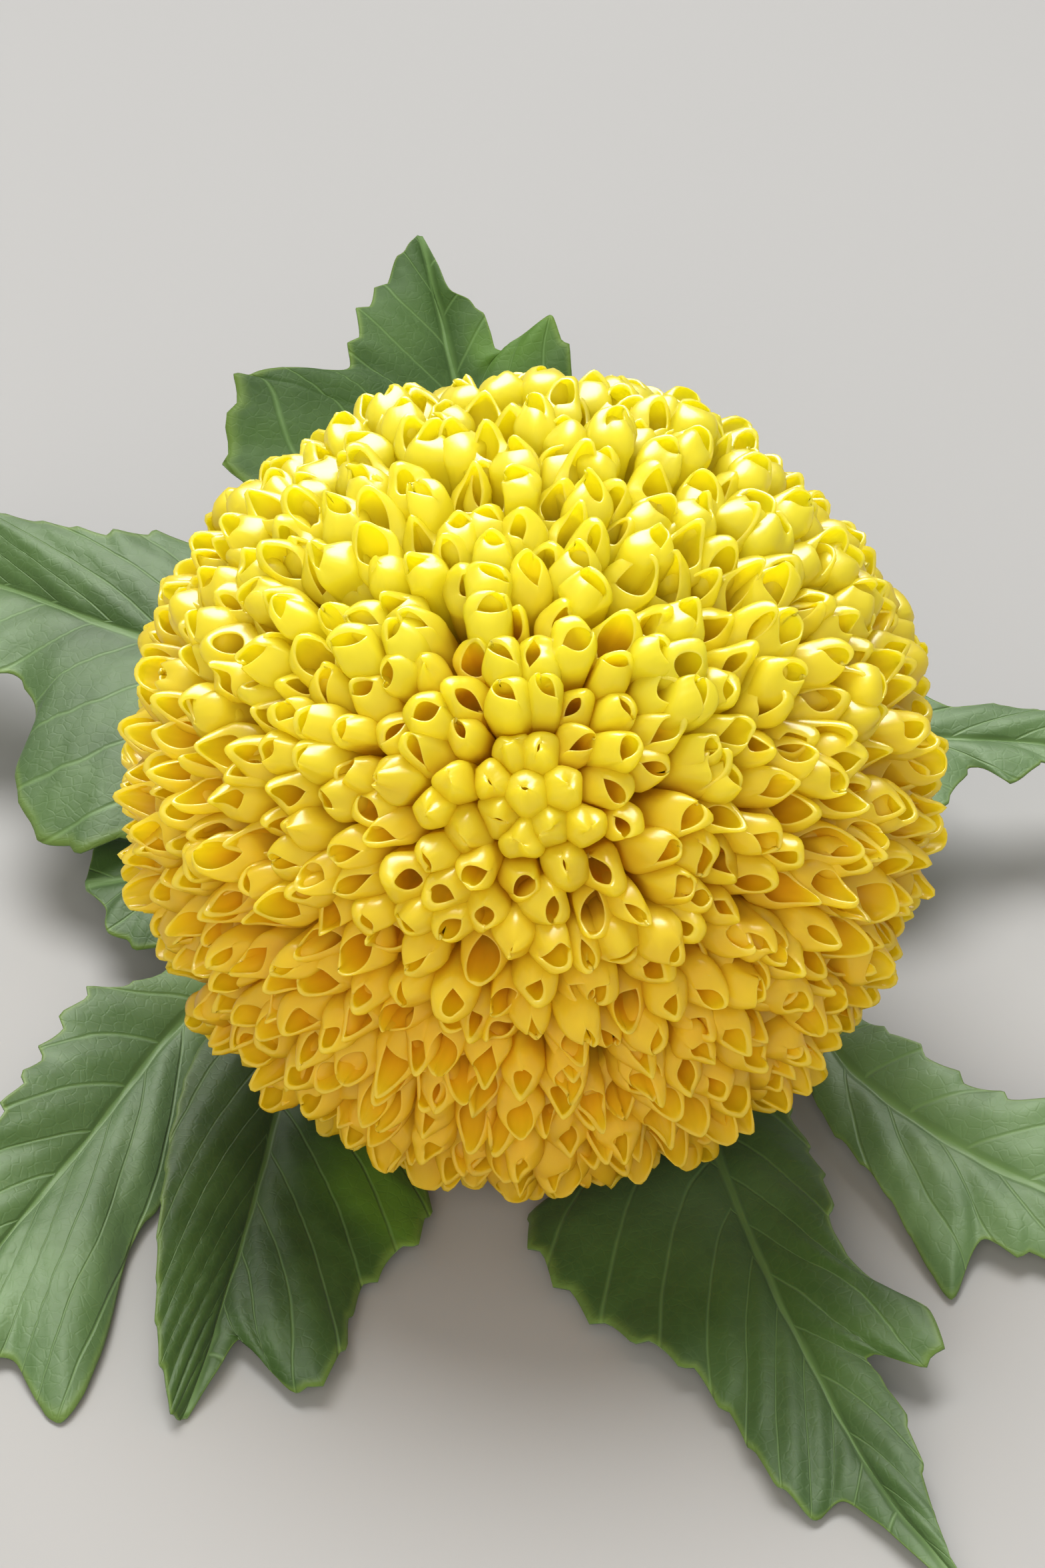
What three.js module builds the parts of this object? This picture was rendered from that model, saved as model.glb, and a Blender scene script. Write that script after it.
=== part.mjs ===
// Yellow pompon chrysanthemum, a cut flower lying on a flat surface. Millimetres, +Z up.
// The stem lies along +Y. Its neck curves up, and the bloom faces -Y, 32 degrees above level.
// The origin is on the surface, under the middle of the whole flower.
import * as THREE from "three";

// ---- driving dimensions, mm and degrees ----
const BLOOM_R = 38; // radius over the floret tips
const BLOOM_HEIGHT = 37.2; // centre of the bloom above the surface: its lower florets are pressed flat
const FACE_UP = 31.6; // how far the bloom's axis is lifted above level
const FACE_SIDE = 2.3; // and turned to -X
const HEART_R = 9.6; // radius of the swollen stem end that carries the florets
const FLORET_FOOT_R = 10; // where the florets begin
const WHORLS = 13; // rows of florets from the apex to the back
const BACK_EDGE = 154; // polar angle where the last row ends and the hollow around the stem begins
const FLORET_PITCH = 4.8; // floret spacing along a row, at the tips
const SCALLOP = 2.5; // depth of the valleys between floret tips
const GAP = 0.15; // half of the clearance between neighbouring pieces
const BRACTS = 13;
const STEM_SIDES = 12;
const BLADE = 0.5; // leaf thickness
const STALK = 1.6; // leaf stalk thickness
const CAMBER = 0.06; // how far each half of a blade bulges up, as a share of its width
const SHIFT = [4.33, -29.4]; // moves the flower so that the origin is under its middle

// ---- leaves ----
// For each leaf: how many rows are stalk, then rows of [midrib, left edge, right edge], from the stalk's foot to the tip.
// The foot of the bloom's centre on the surface is 0, 0 here.
const LEAVES = {
  leaf_top: [3, [
    [[0.6,60,9],[-0.5,59.7,9],[1.7,60.3,9]],
    [[-0.6,64.5,12.6],[-1.7,64.3,12.6],[0.5,64.7,12.6]],
    [[-1.6,69.5,15.8],[-2.7,68.9,15.8],[-0.5,70.1,15.8]],
    [[-3.5,69.7,18.4],[-7,69.2,19.4],[-0.6,69.9,19.4]],
    [[-4.2,72.3,20.4],[-18.3,61.3,25],[4.7,72,22.5]],
    [[-4.9,74.6,22],[-31.3,67.4,30],[7.1,78.1,27]],
    [[-5.5,76.8,23.4],[-31,77.6,33.5],[5.2,84.1,31]],
    [[-6,78.6,24.8],[-27.6,80.4,35],[3.6,88.9,33.6]],
    [[-6.6,81,26.4],[-23.8,79.1,34],[1.9,90.7,34.6]],
    [[-7.2,83.9,28],[-19.4,79.4,32.5],[-1.2,89.3,33.2]],
    [[-7.9,86.6,29.7],[-18.5,84.5,33.6],[-3.1,88.1,32.4]],
    [[-8.6,89.4,31.4],[-18.2,89.3,35],[-4.3,90.8,33.6]],
    [[-9.3,92.9,33],[-17.2,93.3,36],[-6.2,94.2,35]],
    [[-10.2,96,34.8],[-15.1,98.7,37],[-8.6,95.7,35.8]],
    [[-11.1,99.6,36.4],[-13.5,101.4,38],[-10,99.7,37]],
    [[-12,103.7,38],[-12.3,103.8,38.1],[-11.6,103.6,38.1]],
  ]],
  leaf_left: [3, [
    [[-2.1,50.2,8.4],[-2.1,49,8.4],[-2.1,51.4,8.4]],
    [[-9,50,11.2],[-9,48.7,11.2],[-9,51.3,11.2]],
    [[-16,50,13.5],[-15.9,48.4,13.5],[-16.1,51.6,13.5]],
    [[-21.6,49.4,14.5],[-20.8,43.9,14],[-22.3,54.9,15.5]],
    [[-27.2,50.4,15.5],[-26.7,38.4,13],[-28.9,62.7,18]],
    [[-31.8,51.4,16.2],[-32.5,30.7,11],[-35.6,68.9,20]],
    [[-35.3,52.8,16.6],[-39,29.3,10],[-40,69.9,20.5]],
    [[-38.3,54.2,16.8],[-43.9,27.7,9.5],[-43.8,68.4,20.6]],
    [[-41.2,55.7,16.9],[-49.2,30.6,9.6],[-47.9,70.2,20.6]],
    [[-44.1,57.4,16.9],[-52.3,38.4,10.6],[-52.4,72.7,20.4]],
    [[-47.3,59.7,16.8],[-50.7,46.2,13],[-57.3,75.2,20]],
    [[-51,62.9,16.4],[-53.7,52.6,14],[-62.5,80,19]],
    [[-55.4,66.4,15.8],[-58.9,53.1,13.4],[-66.5,82.6,18]],
    [[-60,70.3,15],[-64.1,57.3,12.6],[-68.2,80.7,16.6]],
    [[-65.4,74.9,13.8],[-68.4,65.8,12.6],[-71.9,80.6,15]],
    [[-76,82.3,11.4],[-75.9,81.7,11.2],[-76.4,83.1,11.5]],
  ]],
  leaf_small: [3, [
    [[-2.3,40.2,11],[-2.1,39.2,11],[-2.5,41.2,11]],
    [[-11,38,8.6],[-10.7,36.9,8.6],[-11.3,39.1,8.6]],
    [[-20,35.5,6.6],[-19.9,34.2,6.6],[-20.1,36.8,6.6]],
    [[-24.6,36.5,6.2],[-23.9,32.2,5.8],[-25.3,40.2,7]],
    [[-29.5,33.5,6.4],[-29.1,24.4,5.4],[-31.6,41,7.8]],
    [[-32.7,31.5,6.5],[-33.6,18.3,5.2],[-35.9,39.4,8]],
    [[-35.4,29.8,6.5],[-38.5,18.5,5.2],[-37.9,34.8,7.4]],
    [[-37.7,28.1,6.5],[-41.5,19.7,5.4],[-40.9,33.5,7.2]],
    [[-40.2,26.7,6.4],[-42.2,22.8,5.8],[-43.6,30.9,6.9]],
    [[-44.4,25.9,6.2],[-44.1,25.3,6.1],[-44.4,26.6,6.2]],
  ]],
  leaf_right: [3, [
    [[4.8,47,9],[5.1,48.2,9],[4.5,45.8,9]],
    [[11,45.5,11.6],[11.3,46.8,11.6],[10.7,44.2,11.6]],
    [[19,44,13],[19.3,45.5,13],[18.7,42.5,13]],
    [[22.5,43,13.4],[23.2,47.8,14.2],[22.3,38.1,13]],
    [[28,41.7,14],[30.2,52.1,16],[28.5,29.7,12.4]],
    [[32.4,41,14.2],[35.9,52.5,16.4],[33.8,26.5,12]],
    [[35.8,40.8,14.2],[39.5,47.8,15.6],[38.5,28,12]],
    [[38.7,40.8,14.1],[42.1,44.8,15],[42,31.2,12.4]],
    [[41.3,40.7,14],[45,45.3,14.8],[45.1,36.9,13]],
    [[44.3,40.8,13.8],[49.2,46.2,14.6],[49.1,34.5,12.8]],
    [[47.2,41.2,13.4],[52.3,45.8,14.2],[51.9,38.1,12.8]],
    [[51.6,41.5,12.8],[56.5,46.3,13.6],[55.8,36.8,12]],
    [[56.1,41.9,12],[60.9,45,12.6],[60.2,38,11.4]],
    [[67.7,43.1,9.8],[67.8,43.7,9.9],[67.5,42.4,9.7]],
  ]],
  leaf_lower_left_front: [4, [
    [[-2.9,44.2,8.8],[-2,43.4,8.8],[-3.8,45,8.8]],
    [[-9.5,36,5.4],[-8.4,35.3,5.4],[-10.6,36.7,5.4]],
    [[-15,25,2.7],[-13.7,24.5,2.7],[-16.3,25.5,2.7]],
    [[-19.2,12,1.7],[-18.5,10.5,1.7],[-19.9,13.5,1.7]],
    [[-21.4,22.1,1.6],[-19.1,20.9,1.2],[-24.5,19.6,2.2]],
    [[-22.5,9.6,1.7],[-17.5,3.7,1],[-31.1,3.3,4.8]],
    [[-23.2,0.9,1.9],[-10.9,-10.4,1.2],[-33.2,-12.1,6.6]],
    [[-24,-4.4,2.1],[-9.1,-17.4,1.5],[-33.3,-20.6,7]],
    [[-24.5,-9.3,2.2],[-10.3,-23.4,1.4],[-33.4,-27.2,6.8]],
    [[-25.1,-14.1,2.2],[-13.8,-26.7,1.1],[-33.2,-32.4,6.2]],
    [[-25.7,-18.8,2.2],[-16,-31.3,1.5],[-33.1,-36.4,5.2]],
    [[-26.4,-23.9,2.1],[-16.7,-38.2,1.9],[-32.7,-39.8,4]],
    [[-27.2,-28.6,2],[-19.8,-42.8,1.3],[-32.2,-42.2,2.8]],
    [[-27.9,-32.5,1.8],[-22.9,-39.8,1.4],[-31.7,-44.1,2]],
    [[-28.5,-36.3,1.6],[-25.6,-35.9,1.7],[-31.3,-45.1,1.4]],
    [[-29.4,-40.7,1.2],[-27.7,-40.2,1.5],[-31,-45.3,1]],
    [[-30.4,-44.7,0.3],[-30,-44.6,0.3],[-30.7,-45,0.3]],
  ]],
  leaf_lower_left_back: [4, [
    [[-3.1,58,6],[-2.2,57.3,6],[-4,58.7,6]],
    [[-14,44,4.2],[-12.9,43.3,4.2],[-15.1,44.7,4.2]],
    [[-24,28,3.2],[-22.8,27.3,3.2],[-25.2,28.7,3.2]],
    [[-29.5,15,2.9],[-28,14.4,2.9],[-31,15.6,2.9]],
    [[-30.2,13.8,2.8],[-28.7,10.4,1.8],[-32.5,17.5,3.8]],
    [[-33.5,8.7,2.7],[-31.2,4,0.7],[-38.4,10.6,5.8]],
    [[-36,3.7,2.6],[-32.7,-5.8,0.6],[-43,7.5,6.6]],
    [[-37.9,-0.9,2.5],[-34.1,-15.4,0.6],[-45.6,1.4,6.8]],
    [[-39.7,-5.2,2.5],[-36.7,-23.2,0.7],[-47.3,-5.3,6.6]],
    [[-41.4,-9.4,2.5],[-38,-35.9,0.8],[-49.6,-11.6,6.2]],
    [[-43,-12.9,2.5],[-40.2,-44.2,0.3],[-53.3,-15,5.6]],
    [[-44.5,-16.5,2.6],[-42.8,-43.4,0.3],[-56.2,-20.5,5]],
    [[-46.4,-20.5,2.6],[-45.8,-38,1],[-55.7,-25.3,4.4]],
    [[-48.4,-24.7,2.5],[-48.7,-37.9,1.2],[-55.1,-29.1,4]],
    [[-50.5,-28.9,2.3],[-50.9,-40.7,1.2],[-56.9,-32.9,3.2]],
    [[-53.4,-33.9,2],[-53.9,-42.1,1.2],[-58.4,-36.9,2.4]],
    [[-58.5,-41.6,1.2],[-58.1,-41.9,1.1],[-58.8,-41.2,1.2]],
  ]],
  leaf_lower_right_front: [5, [
    [[5.5,42,9.7],[6.6,42.5,9.7],[4.4,41.5,9.7]],
    [[9.6,33,5.6],[10.8,33.5,5.6],[8.4,32.5,5.6]],
    [[13,22,2.8],[14.3,22.4,2.8],[11.7,21.6,2.8]],
    [[16,12,1.6],[17.4,12.3,1.6],[14.6,11.7,1.6]],
    [[17.2,5,1.3],[18.7,5.1,1.3],[15.7,4.9,1.3]],
    [[16.9,2.4,1.3],[20.1,3.8,2],[14.3,0.8,1.1]],
    [[16.9,-2.7,1.4],[23.5,-3.1,3.2],[9.8,-10.2,0.9]],
    [[17.4,-7.7,1.6],[26.2,-11.8,4.2],[0.8,-17.1,1]],
    [[18.2,-12.7,1.8],[27.4,-19.5,4.8],[0.9,-24.5,1.3]],
    [[19.3,-18,2],[27.6,-25.6,5],[5.1,-32.1,1.7]],
    [[20.3,-23.1,2.2],[30.4,-31.5,5],[10.2,-37.5,1.9]],
    [[21.3,-27.5,2.4],[35.6,-36.3,5],[14.3,-41,2]],
    [[22.4,-32,2.4],[35.4,-42.3,4.2],[17.4,-45.5,2]],
    [[24.1,-37.5,2.4],[30.1,-40.2,3.6],[19.5,-50.6,1.9]],
    [[25.6,-42.6,2.4],[32,-46.2,3.4],[21.9,-55.4,1.4]],
    [[27.1,-47.2,2.3],[33.3,-52.5,3.2],[24.3,-57.1,0.3]],
    [[28.9,-51.9,2.1],[33.9,-57.4,2.8],[26.8,-56,1.2]],
    [[31.4,-57.2,1.8],[34.8,-60.9,2.2],[29.6,-58.7,1.5]],
    [[34,-61.6,1.4],[35.5,-63.4,1.6],[32.5,-62.5,1.3]],
    [[37.2,-66.9,0.3],[37.5,-66.7,0.3],[36.8,-67.2,0.3]],
  ]],
  leaf_lower_right_back: [4, [
    [[5.3,57,5.8],[6.3,57.7,5.8],[4.3,56.3,5.8]],
    [[12.6,46,4.6],[13.7,46.7,4.6],[11.5,45.3,4.6]],
    [[20.5,34,3.4],[21.7,34.7,3.4],[19.3,33.3,3.4]],
    [[26.5,22,3],[28,22.4,3],[25,21.6,3]],
    [[26.8,11.4,3],[29.6,13.3,3.6],[25,7.6,2.6]],
    [[30,1.5,3.4],[32.7,4.4,5.5],[27.5,-3.9,2.4]],
    [[32.8,-3.6,3.8],[35.6,0.7,6.3],[30.6,-11.4,2.2]],
    [[35.6,-7.5,4],[38.4,-2.9,6.8],[33.5,-18,2]],
    [[38,-10.5,4.2],[41.5,-5.8,7],[36,-24.7,1.2]],
    [[39.9,-12.4,4.2],[44.4,-7.8,7],[38.3,-29,0.3]],
    [[42.1,-14.6,4.2],[47.4,-8.6,6.8],[40.9,-23.6,1.8]],
    [[44.6,-16.3,4],[50.8,-9,6.2],[44,-24.2,2.4]],
    [[47.5,-18.2,3.8],[54.3,-10.3,5.4],[48.4,-25.8,2.2]],
    [[50.8,-20.2,3.4],[56.7,-13.7,4.5],[52.1,-27.1,2]],
    [[54.2,-22.6,2.8],[58,-18.7,3.4],[55.3,-27.2,1.8]],
    [[58.6,-24.8,1.6],[59,-24.4,1.6],[58.3,-25.2,1.5]],
  ]],
};

// ---- helpers ----
const rad = THREE.MathUtils.degToRad;
const V = (x, y, z) => new THREE.Vector3(x, y, z);

const centre = V(0, 0, BLOOM_HEIGHT);
const axis = V(
  -Math.sin(rad(FACE_SIDE)) * Math.cos(rad(FACE_UP)),
  -Math.cos(rad(FACE_SIDE)) * Math.cos(rad(FACE_UP)),
  Math.sin(rad(FACE_UP)),
).normalize();
const across = V(Math.cos(rad(FACE_SIDE)), -Math.sin(rad(FACE_SIDE)), 0).normalize();
const upward = new THREE.Vector3().crossVectors(axis, across).normalize();

// a point in the bloom: radius r, polar angle from the apex, angle around the axis, both in radians
function bloomPoint(r, polar, turn) {
  const dir = axis.clone().multiplyScalar(Math.cos(polar))
    .addScaledVector(across, Math.sin(polar) * Math.cos(turn))
    .addScaledVector(upward, Math.sin(polar) * Math.sin(turn));
  // florets that would reach under the surface end on it
  if (dir.z < 0) r = Math.min(r, centre.z / -dir.z);
  return dir.multiplyScalar(r).add(centre);
}

const petal = new THREE.MeshStandardMaterial({ color: 0xf0d818, roughness: 0.42, metalness: 0 });
const leafGreen = new THREE.MeshStandardMaterial({ color: 0x3c5f2a, roughness: 0.55, metalness: 0 });
const stemGreen = new THREE.MeshStandardMaterial({ color: 0x6f8f45, roughness: 0.5, metalness: 0 });
const bractGreen = new THREE.MeshStandardMaterial({ color: 0x5d7f3a, roughness: 0.55, metalness: 0 });

const flower = new THREE.Group();
flower.position.set(SHIFT[0], SHIFT[1], 0);

function addMesh(name, points, faces, material) {
  let volume = 0;
  const cross = V(0, 0, 0);
  for (const [a, b, c] of faces) volume += points[a].dot(cross.crossVectors(points[b], points[c])) / 6;
  const geometry = new THREE.BufferGeometry();
  geometry.setAttribute("position", new THREE.Float32BufferAttribute(points.flatMap((p) => [p.x, p.y, p.z]), 3));
  geometry.setIndex(volume < 0 ? faces.flatMap(([a, b, c]) => [a, c, b]) : faces.flat());
  geometry.computeVertexNormals();
  const mesh = new THREE.Mesh(geometry, material);
  mesh.name = name;
  flower.add(mesh);
}

// ---- floret rows: rings between two cones around the bloom's axis, with staggered tips ----
const step = rad(BACK_EDGE) / WHORLS;
for (let w = 0; w < WHORLS; w++) {
  const polar0 = w * step;
  const polar1 = (w + 1) * step;
  const middle = w === 0 ? polar1 * 0.75 : (polar0 + polar1) / 2;
  const florets = Math.max(7, Math.round((2 * Math.PI * BLOOM_R * Math.sin(middle)) / FLORET_PITCH));
  const columns = 2 * florets;
  const points = [];
  const faces = [];
  for (let i = 0; i < columns; i++) {
    const turn = (2 * Math.PI * i) / columns + w * 0.7;
    const tip0 = BLOOM_R - (i % 2 ? SCALLOP : 0);
    const tip1 = BLOOM_R - (i % 2 ? 0 : SCALLOP);
    const section = [[FLORET_FOOT_R, polar1, -1], [tip1, polar1, -1]];
    if (w > 0) section.push([tip0, polar0, 1], [FLORET_FOOT_R, polar0, 1]);
    for (const [r, polar, side] of section) points.push(bloomPoint(r, polar + (side * GAP) / r, turn));
  }
  const m = w > 0 ? 4 : 2;
  if (w === 0) points.push(bloomPoint(BLOOM_R - 0.6, 0, 0), bloomPoint(FLORET_FOOT_R, 0, 0));
  const top = points.length - 2;
  for (let i = 0; i < columns; i++) {
    const a = i * m;
    const b = ((i + 1) % columns) * m;
    for (let k = 0; k < (w > 0 ? 4 : 1); k++) {
      const k1 = (k + 1) % m;
      // the diagonal follows the higher tip, so that each tip stays a ridge
      if ((i + (k === 1 ? 1 : 0)) % 2) faces.push([a + k, a + k1, b + k1], [a + k, b + k1, b + k]);
      else faces.push([a + k, a + k1, b + k], [b + k, a + k1, b + k1]);
    }
    if (w === 0) faces.push([a + 1, top, b + 1], [a, b, top + 1]);
  }
  addMesh(`floret_whorl_${String(w + 1).padStart(2, "0")}`, points, faces, petal);
}

// ---- a closed solid through a row of closed loops ----
function addLoft(name, loops, material, strips) {
  const n = loops[0].length;
  const points = loops.flat();
  const faces = [];
  for (let i = 0; i + 1 < loops.length; i++) {
    for (let k = 0; k < n; k++) {
      const a = i * n + k;
      const b = i * n + ((k + 1) % n);
      faces.push([a, b, a + n], [b, b + n, a + n]);
    }
  }
  const last = (loops.length - 1) * n;
  if (strips) {
    // a flat loop, whose second half runs back under the first
    for (let k = 0; k + 1 < n / 2; k++) {
      const [a, b, c, d] = [k, k + 1, n - 2 - k, n - 1 - k];
      faces.push([a, c, b], [a, d, c], [last + a, last + b, last + c], [last + a, last + c, last + d]);
    }
  } else {
    points.push(loops[0].reduce((s, p) => s.add(p), V(0, 0, 0)).divideScalar(n));
    points.push(loops.at(-1).reduce((s, p) => s.add(p), V(0, 0, 0)).divideScalar(n));
    for (let k = 0; k < n; k++) {
      faces.push([k, points.length - 2, (k + 1) % n], [last + k, last + ((k + 1) % n), points.length - 1]);
    }
  }
  addMesh(name, points, faces, material);
}

// ---- stem, with the swollen end inside the bloom ----
const along = (s) => centre.clone().addScaledVector(axis, -s);
const route = new THREE.CatmullRomCurve3([
  along(9), along(16), along(23), along(30),
  V(1.25, 35, 13.6), V(1.35, 45, 9.15), V(1.2, 55, 6.0), V(0.8, 65, 4.05), V(0, 78, 3.15), V(-1.4, 95, 3.1),
  V(-2.8, 111, 3.1), V(-4.2, 126, 3.0),
], false, "centripetal");
const heart = [[-9.4, 1.9], [-8.2, 5.0], [-5.6, 7.8], [-2, 9.39], [2, 9.39], [5.2, 8.07], [7.4, 6.1], [8.4, 4.4]];
const stemLoops = heart.map(([s, r]) => ({ at: along(s), dir: axis.clone().negate(), r }));
const stations = [0, 0.04, 0.09, 0.15, 0.21, 0.27, 0.33, 0.39, 0.45, 0.51, 0.58, 0.66, 0.74, 0.82, 0.91, 1];
for (const t of stations) {
  const r = THREE.MathUtils.lerp(2.6, 3.0, t) + 0.45 * Math.exp(-t * 29);
  stemLoops.push({ at: route.getPointAt(t), dir: route.getTangentAt(t), r });
}
addLoft("stem", stemLoops.map(({ at, dir, r }, i) => {
  const side = V(dir.y, -dir.x, 0).normalize();
  const up = new THREE.Vector3().crossVectors(side, dir).normalize();
  const slant = i === stemLoops.length - 1 ? 0.7 : 0;
  return Array.from({ length: STEM_SIDES }, (_, k) => {
    const turn = (2 * Math.PI * k) / STEM_SIDES;
    const p = at.clone().addScaledVector(side, r * Math.cos(turn)).addScaledVector(up, r * Math.sin(turn));
    p.addScaledVector(dir, -slant * r * (1 + Math.sin(turn)));
    p.z = Math.max(p.z, 0);
    return p;
  });
}), stemGreen, false);

// ---- involucre bracts, along the hollow around the stem ----
for (let i = 0; i < BRACTS; i++) {
  const turn = (2 * Math.PI * i) / BRACTS;
  const shape = [[11.2, 1.5, 22], [14, 2.3, 22.4], [18, 2.9, 22.9], [22, 2.7, 23.3], [25.5, 1.6, 23.7], [27.6, 0.3, 24]];
  addLoft(`involucre_bract_${String(i + 1).padStart(2, "0")}`, shape.map(([r, wide, open]) => {
    const ring = r * Math.sin(rad(open));
    const half = wide / 2 / ring;
    const at = (k, lift) => bloomPoint(r, Math.PI - rad(open) + lift / r, turn + half * k);
    const thin = r > 27 ? 0.12 : 0.22;
    return [at(-1, -thin), at(0, -thin), at(1, -thin), at(1, thin), at(0, thin), at(-1, thin)];
  }), bractGreen, true);
}

// ---- leaves ----
for (const [name, [stalkRows, rows]] of Object.entries(LEAVES)) {
  const grid = rows.map(([m, l, r], i) => {
    const [M, L, R] = [V(...m), V(...l), V(...r)];
    const halves = [L, R].map((edge) => {
      const p = edge.clone().add(M).multiplyScalar(0.5);
      if (i > stalkRows) p.z += CAMBER * edge.distanceTo(M);
      return p;
    });
    return [L, halves[0], M, halves[1], R];
  });
  addLoft(name, grid.map((row, i) => {
    const ahead = grid[Math.min(i + 1, grid.length - 1)];
    const behind = grid[Math.max(i - 1, 0)];
    const run = ahead[2].clone().sub(behind[2]);
    const normal = new THREE.Vector3().crossVectors(row[4].clone().sub(row[0]), run).normalize();
    if (normal.z < 0) normal.negate();
    const half = (i < stalkRows ? STALK : i === stalkRows ? 1.0 : i === stalkRows + 1 ? 0.7 : BLADE) / 2;
    const shift = (p, h) => {
      const q = p.clone().addScaledVector(normal, h);
      q.z = Math.max(q.z, h < 0 ? 0 : 0.3);
      return q;
    };
    return [...row.map((p) => shift(p, half)), ...row.map((p) => shift(p, -half)).reverse()];
  }), leafGreen, true);
}

export default flower;
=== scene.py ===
import math

import bpy
import numpy as np
from mathutils import Matrix, Vector


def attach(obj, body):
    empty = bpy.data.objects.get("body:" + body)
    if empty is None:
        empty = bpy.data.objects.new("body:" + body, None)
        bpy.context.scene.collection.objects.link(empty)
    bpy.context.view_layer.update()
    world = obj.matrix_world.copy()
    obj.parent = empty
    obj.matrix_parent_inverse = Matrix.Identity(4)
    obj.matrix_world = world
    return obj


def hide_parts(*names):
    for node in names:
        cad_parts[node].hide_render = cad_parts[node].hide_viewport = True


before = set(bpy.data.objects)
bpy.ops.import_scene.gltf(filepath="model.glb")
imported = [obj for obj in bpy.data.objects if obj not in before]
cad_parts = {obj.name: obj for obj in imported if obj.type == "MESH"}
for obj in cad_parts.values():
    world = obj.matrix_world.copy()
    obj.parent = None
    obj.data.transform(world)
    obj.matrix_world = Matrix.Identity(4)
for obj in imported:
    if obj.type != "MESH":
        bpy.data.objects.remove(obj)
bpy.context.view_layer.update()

MM = 0.001
SHIFT = np.array([4.33, -29.4, 0.0])  # the flower's own foot point, in the row frame, mm
CENTRE = np.array([0.0, 0.0, 37.2])
R = 38.0
FACE_UP = math.radians(31.6)
FACE_SIDE = math.radians(2.3)
BACK_EDGE = math.radians(154.0)
WHORLS = 13
AXIS = np.array([
    -math.sin(FACE_SIDE) * math.cos(FACE_UP),
    -math.cos(FACE_SIDE) * math.cos(FACE_UP),
    math.sin(FACE_UP),
])
ACROSS = np.array([math.cos(FACE_SIDE), -math.sin(FACE_SIDE), 0.0])
UPWARD = np.cross(AXIS, ACROSS)


# ---------------------------------------------------------------- camera
def make_camera():
    pitch = math.radians(35.0)
    look = np.array([0.0, math.cos(pitch), -math.sin(pitch)])
    up = np.array([0.0, math.sin(pitch), math.cos(pitch)])
    distance = 397.0
    aim = CENTRE + SHIFT - 0.61 * np.array([1.0, 0.0, 0.0]) - 0.30 * up
    cam = bpy.data.cameras.new("camera")
    cam.lens = 100.0
    cam.sensor_width = 36.0
    cam.sensor_fit = "AUTO"
    cam.clip_start = 0.01
    ob = bpy.data.objects.new("camera", cam)
    bpy.context.scene.collection.objects.link(ob)
    back = Vector(-look)
    side = Vector((1.0, 0.0, 0.0))
    top = back.cross(side)
    turn = Matrix((side, top, back)).transposed().to_4x4()
    ob.matrix_world = Matrix.Translation(Vector((aim - look * distance) * MM)) @ turn
    bpy.context.scene.camera = ob


make_camera()


# ---------------------------------------------------------------- mesh helper
def mesh_piece(name, verts, faces, material, attrs=None, smooth=True):
    """verts in mm in the flower's own frame, faces an (n, 4) or (n, 3) array or a list of both."""
    me = bpy.data.meshes.new(name)
    co = (np.asarray(verts, dtype=np.float64) + SHIFT) * MM
    if isinstance(faces, np.ndarray):
        n, k = faces.shape
        me.vertices.add(len(co))
        me.vertices.foreach_set("co", co.astype(np.float32).ravel())
        me.loops.add(n * k)
        me.loops.foreach_set("vertex_index", faces.astype(np.int32).ravel())
        me.polygons.add(n)
        me.polygons.foreach_set("loop_start", np.arange(0, n * k, k, dtype=np.int32))
        me.update(calc_edges=True)
    else:
        me.from_pydata([tuple(c) for c in co], [], [tuple(int(i) for i in f) for f in faces])
    me.validate()
    if attrs:
        for key, values in attrs.items():
            values = np.asarray(values, dtype=np.float32)
            at = me.attributes.new(key, "FLOAT", "POINT")
            at.data.foreach_set("value", values)
    me.polygons.foreach_set("use_smooth", np.full(len(me.polygons), smooth))
    me.materials.append(material)
    ob = bpy.data.objects.new(name, me)
    bpy.context.scene.collection.objects.link(ob)
    return ob


# ---------------------------------------------------------------- materials
def new_material(name):
    mat = bpy.data.materials.new(name)
    mat.use_nodes = True
    nt = mat.node_tree
    nt.nodes.clear()
    out = nt.nodes.new("ShaderNodeOutputMaterial")
    bsdf = nt.nodes.new("ShaderNodeBsdfPrincipled")
    nt.links.new(bsdf.outputs[0], out.inputs["Surface"])
    return mat, nt, bsdf


def attribute(nt, name):
    n = nt.nodes.new("ShaderNodeAttribute")
    n.attribute_type = "GEOMETRY"
    n.attribute_name = name
    return n.outputs["Fac"]


def ramp(nt, fac, stops, interpolation="EASE"):
    n = nt.nodes.new("ShaderNodeValToRGB")
    n.color_ramp.interpolation = interpolation
    el = n.color_ramp.elements
    while len(el) < len(stops):
        el.new(0.5)
    for e, (p, c) in zip(el, stops):
        e.position = p
        e.color = (*c, 1.0)
    nt.links.new(fac, n.inputs["Fac"])
    return n.outputs["Color"]


def math_node(nt, op, a, b=None, clamp=False):
    n = nt.nodes.new("ShaderNodeMath")
    n.operation = op
    n.use_clamp = clamp
    for i, v in enumerate((a, b)):
        if v is None:
            continue
        if isinstance(v, (int, float)):
            n.inputs[i].default_value = v
        else:
            nt.links.new(v, n.inputs[i])
    return n.outputs[0]


def mix_color(nt, fac, a, b, mode="MIX"):
    n = nt.nodes.new("ShaderNodeMix")
    n.data_type = "RGBA"
    n.blend_type = mode
    for key, v in (("Factor", fac), ("A", a), ("B", b)):
        sock = [s for s in n.inputs if s.name == key and s.enabled and (key == "Factor" or s.type == "RGBA")][0]
        if isinstance(v, (int, float)):
            sock.default_value = v
        elif isinstance(v, tuple):
            sock.default_value = (*v, 1.0)
        else:
            nt.links.new(v, sock)
    return [s for s in n.outputs if s.type == "RGBA"][0]


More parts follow.
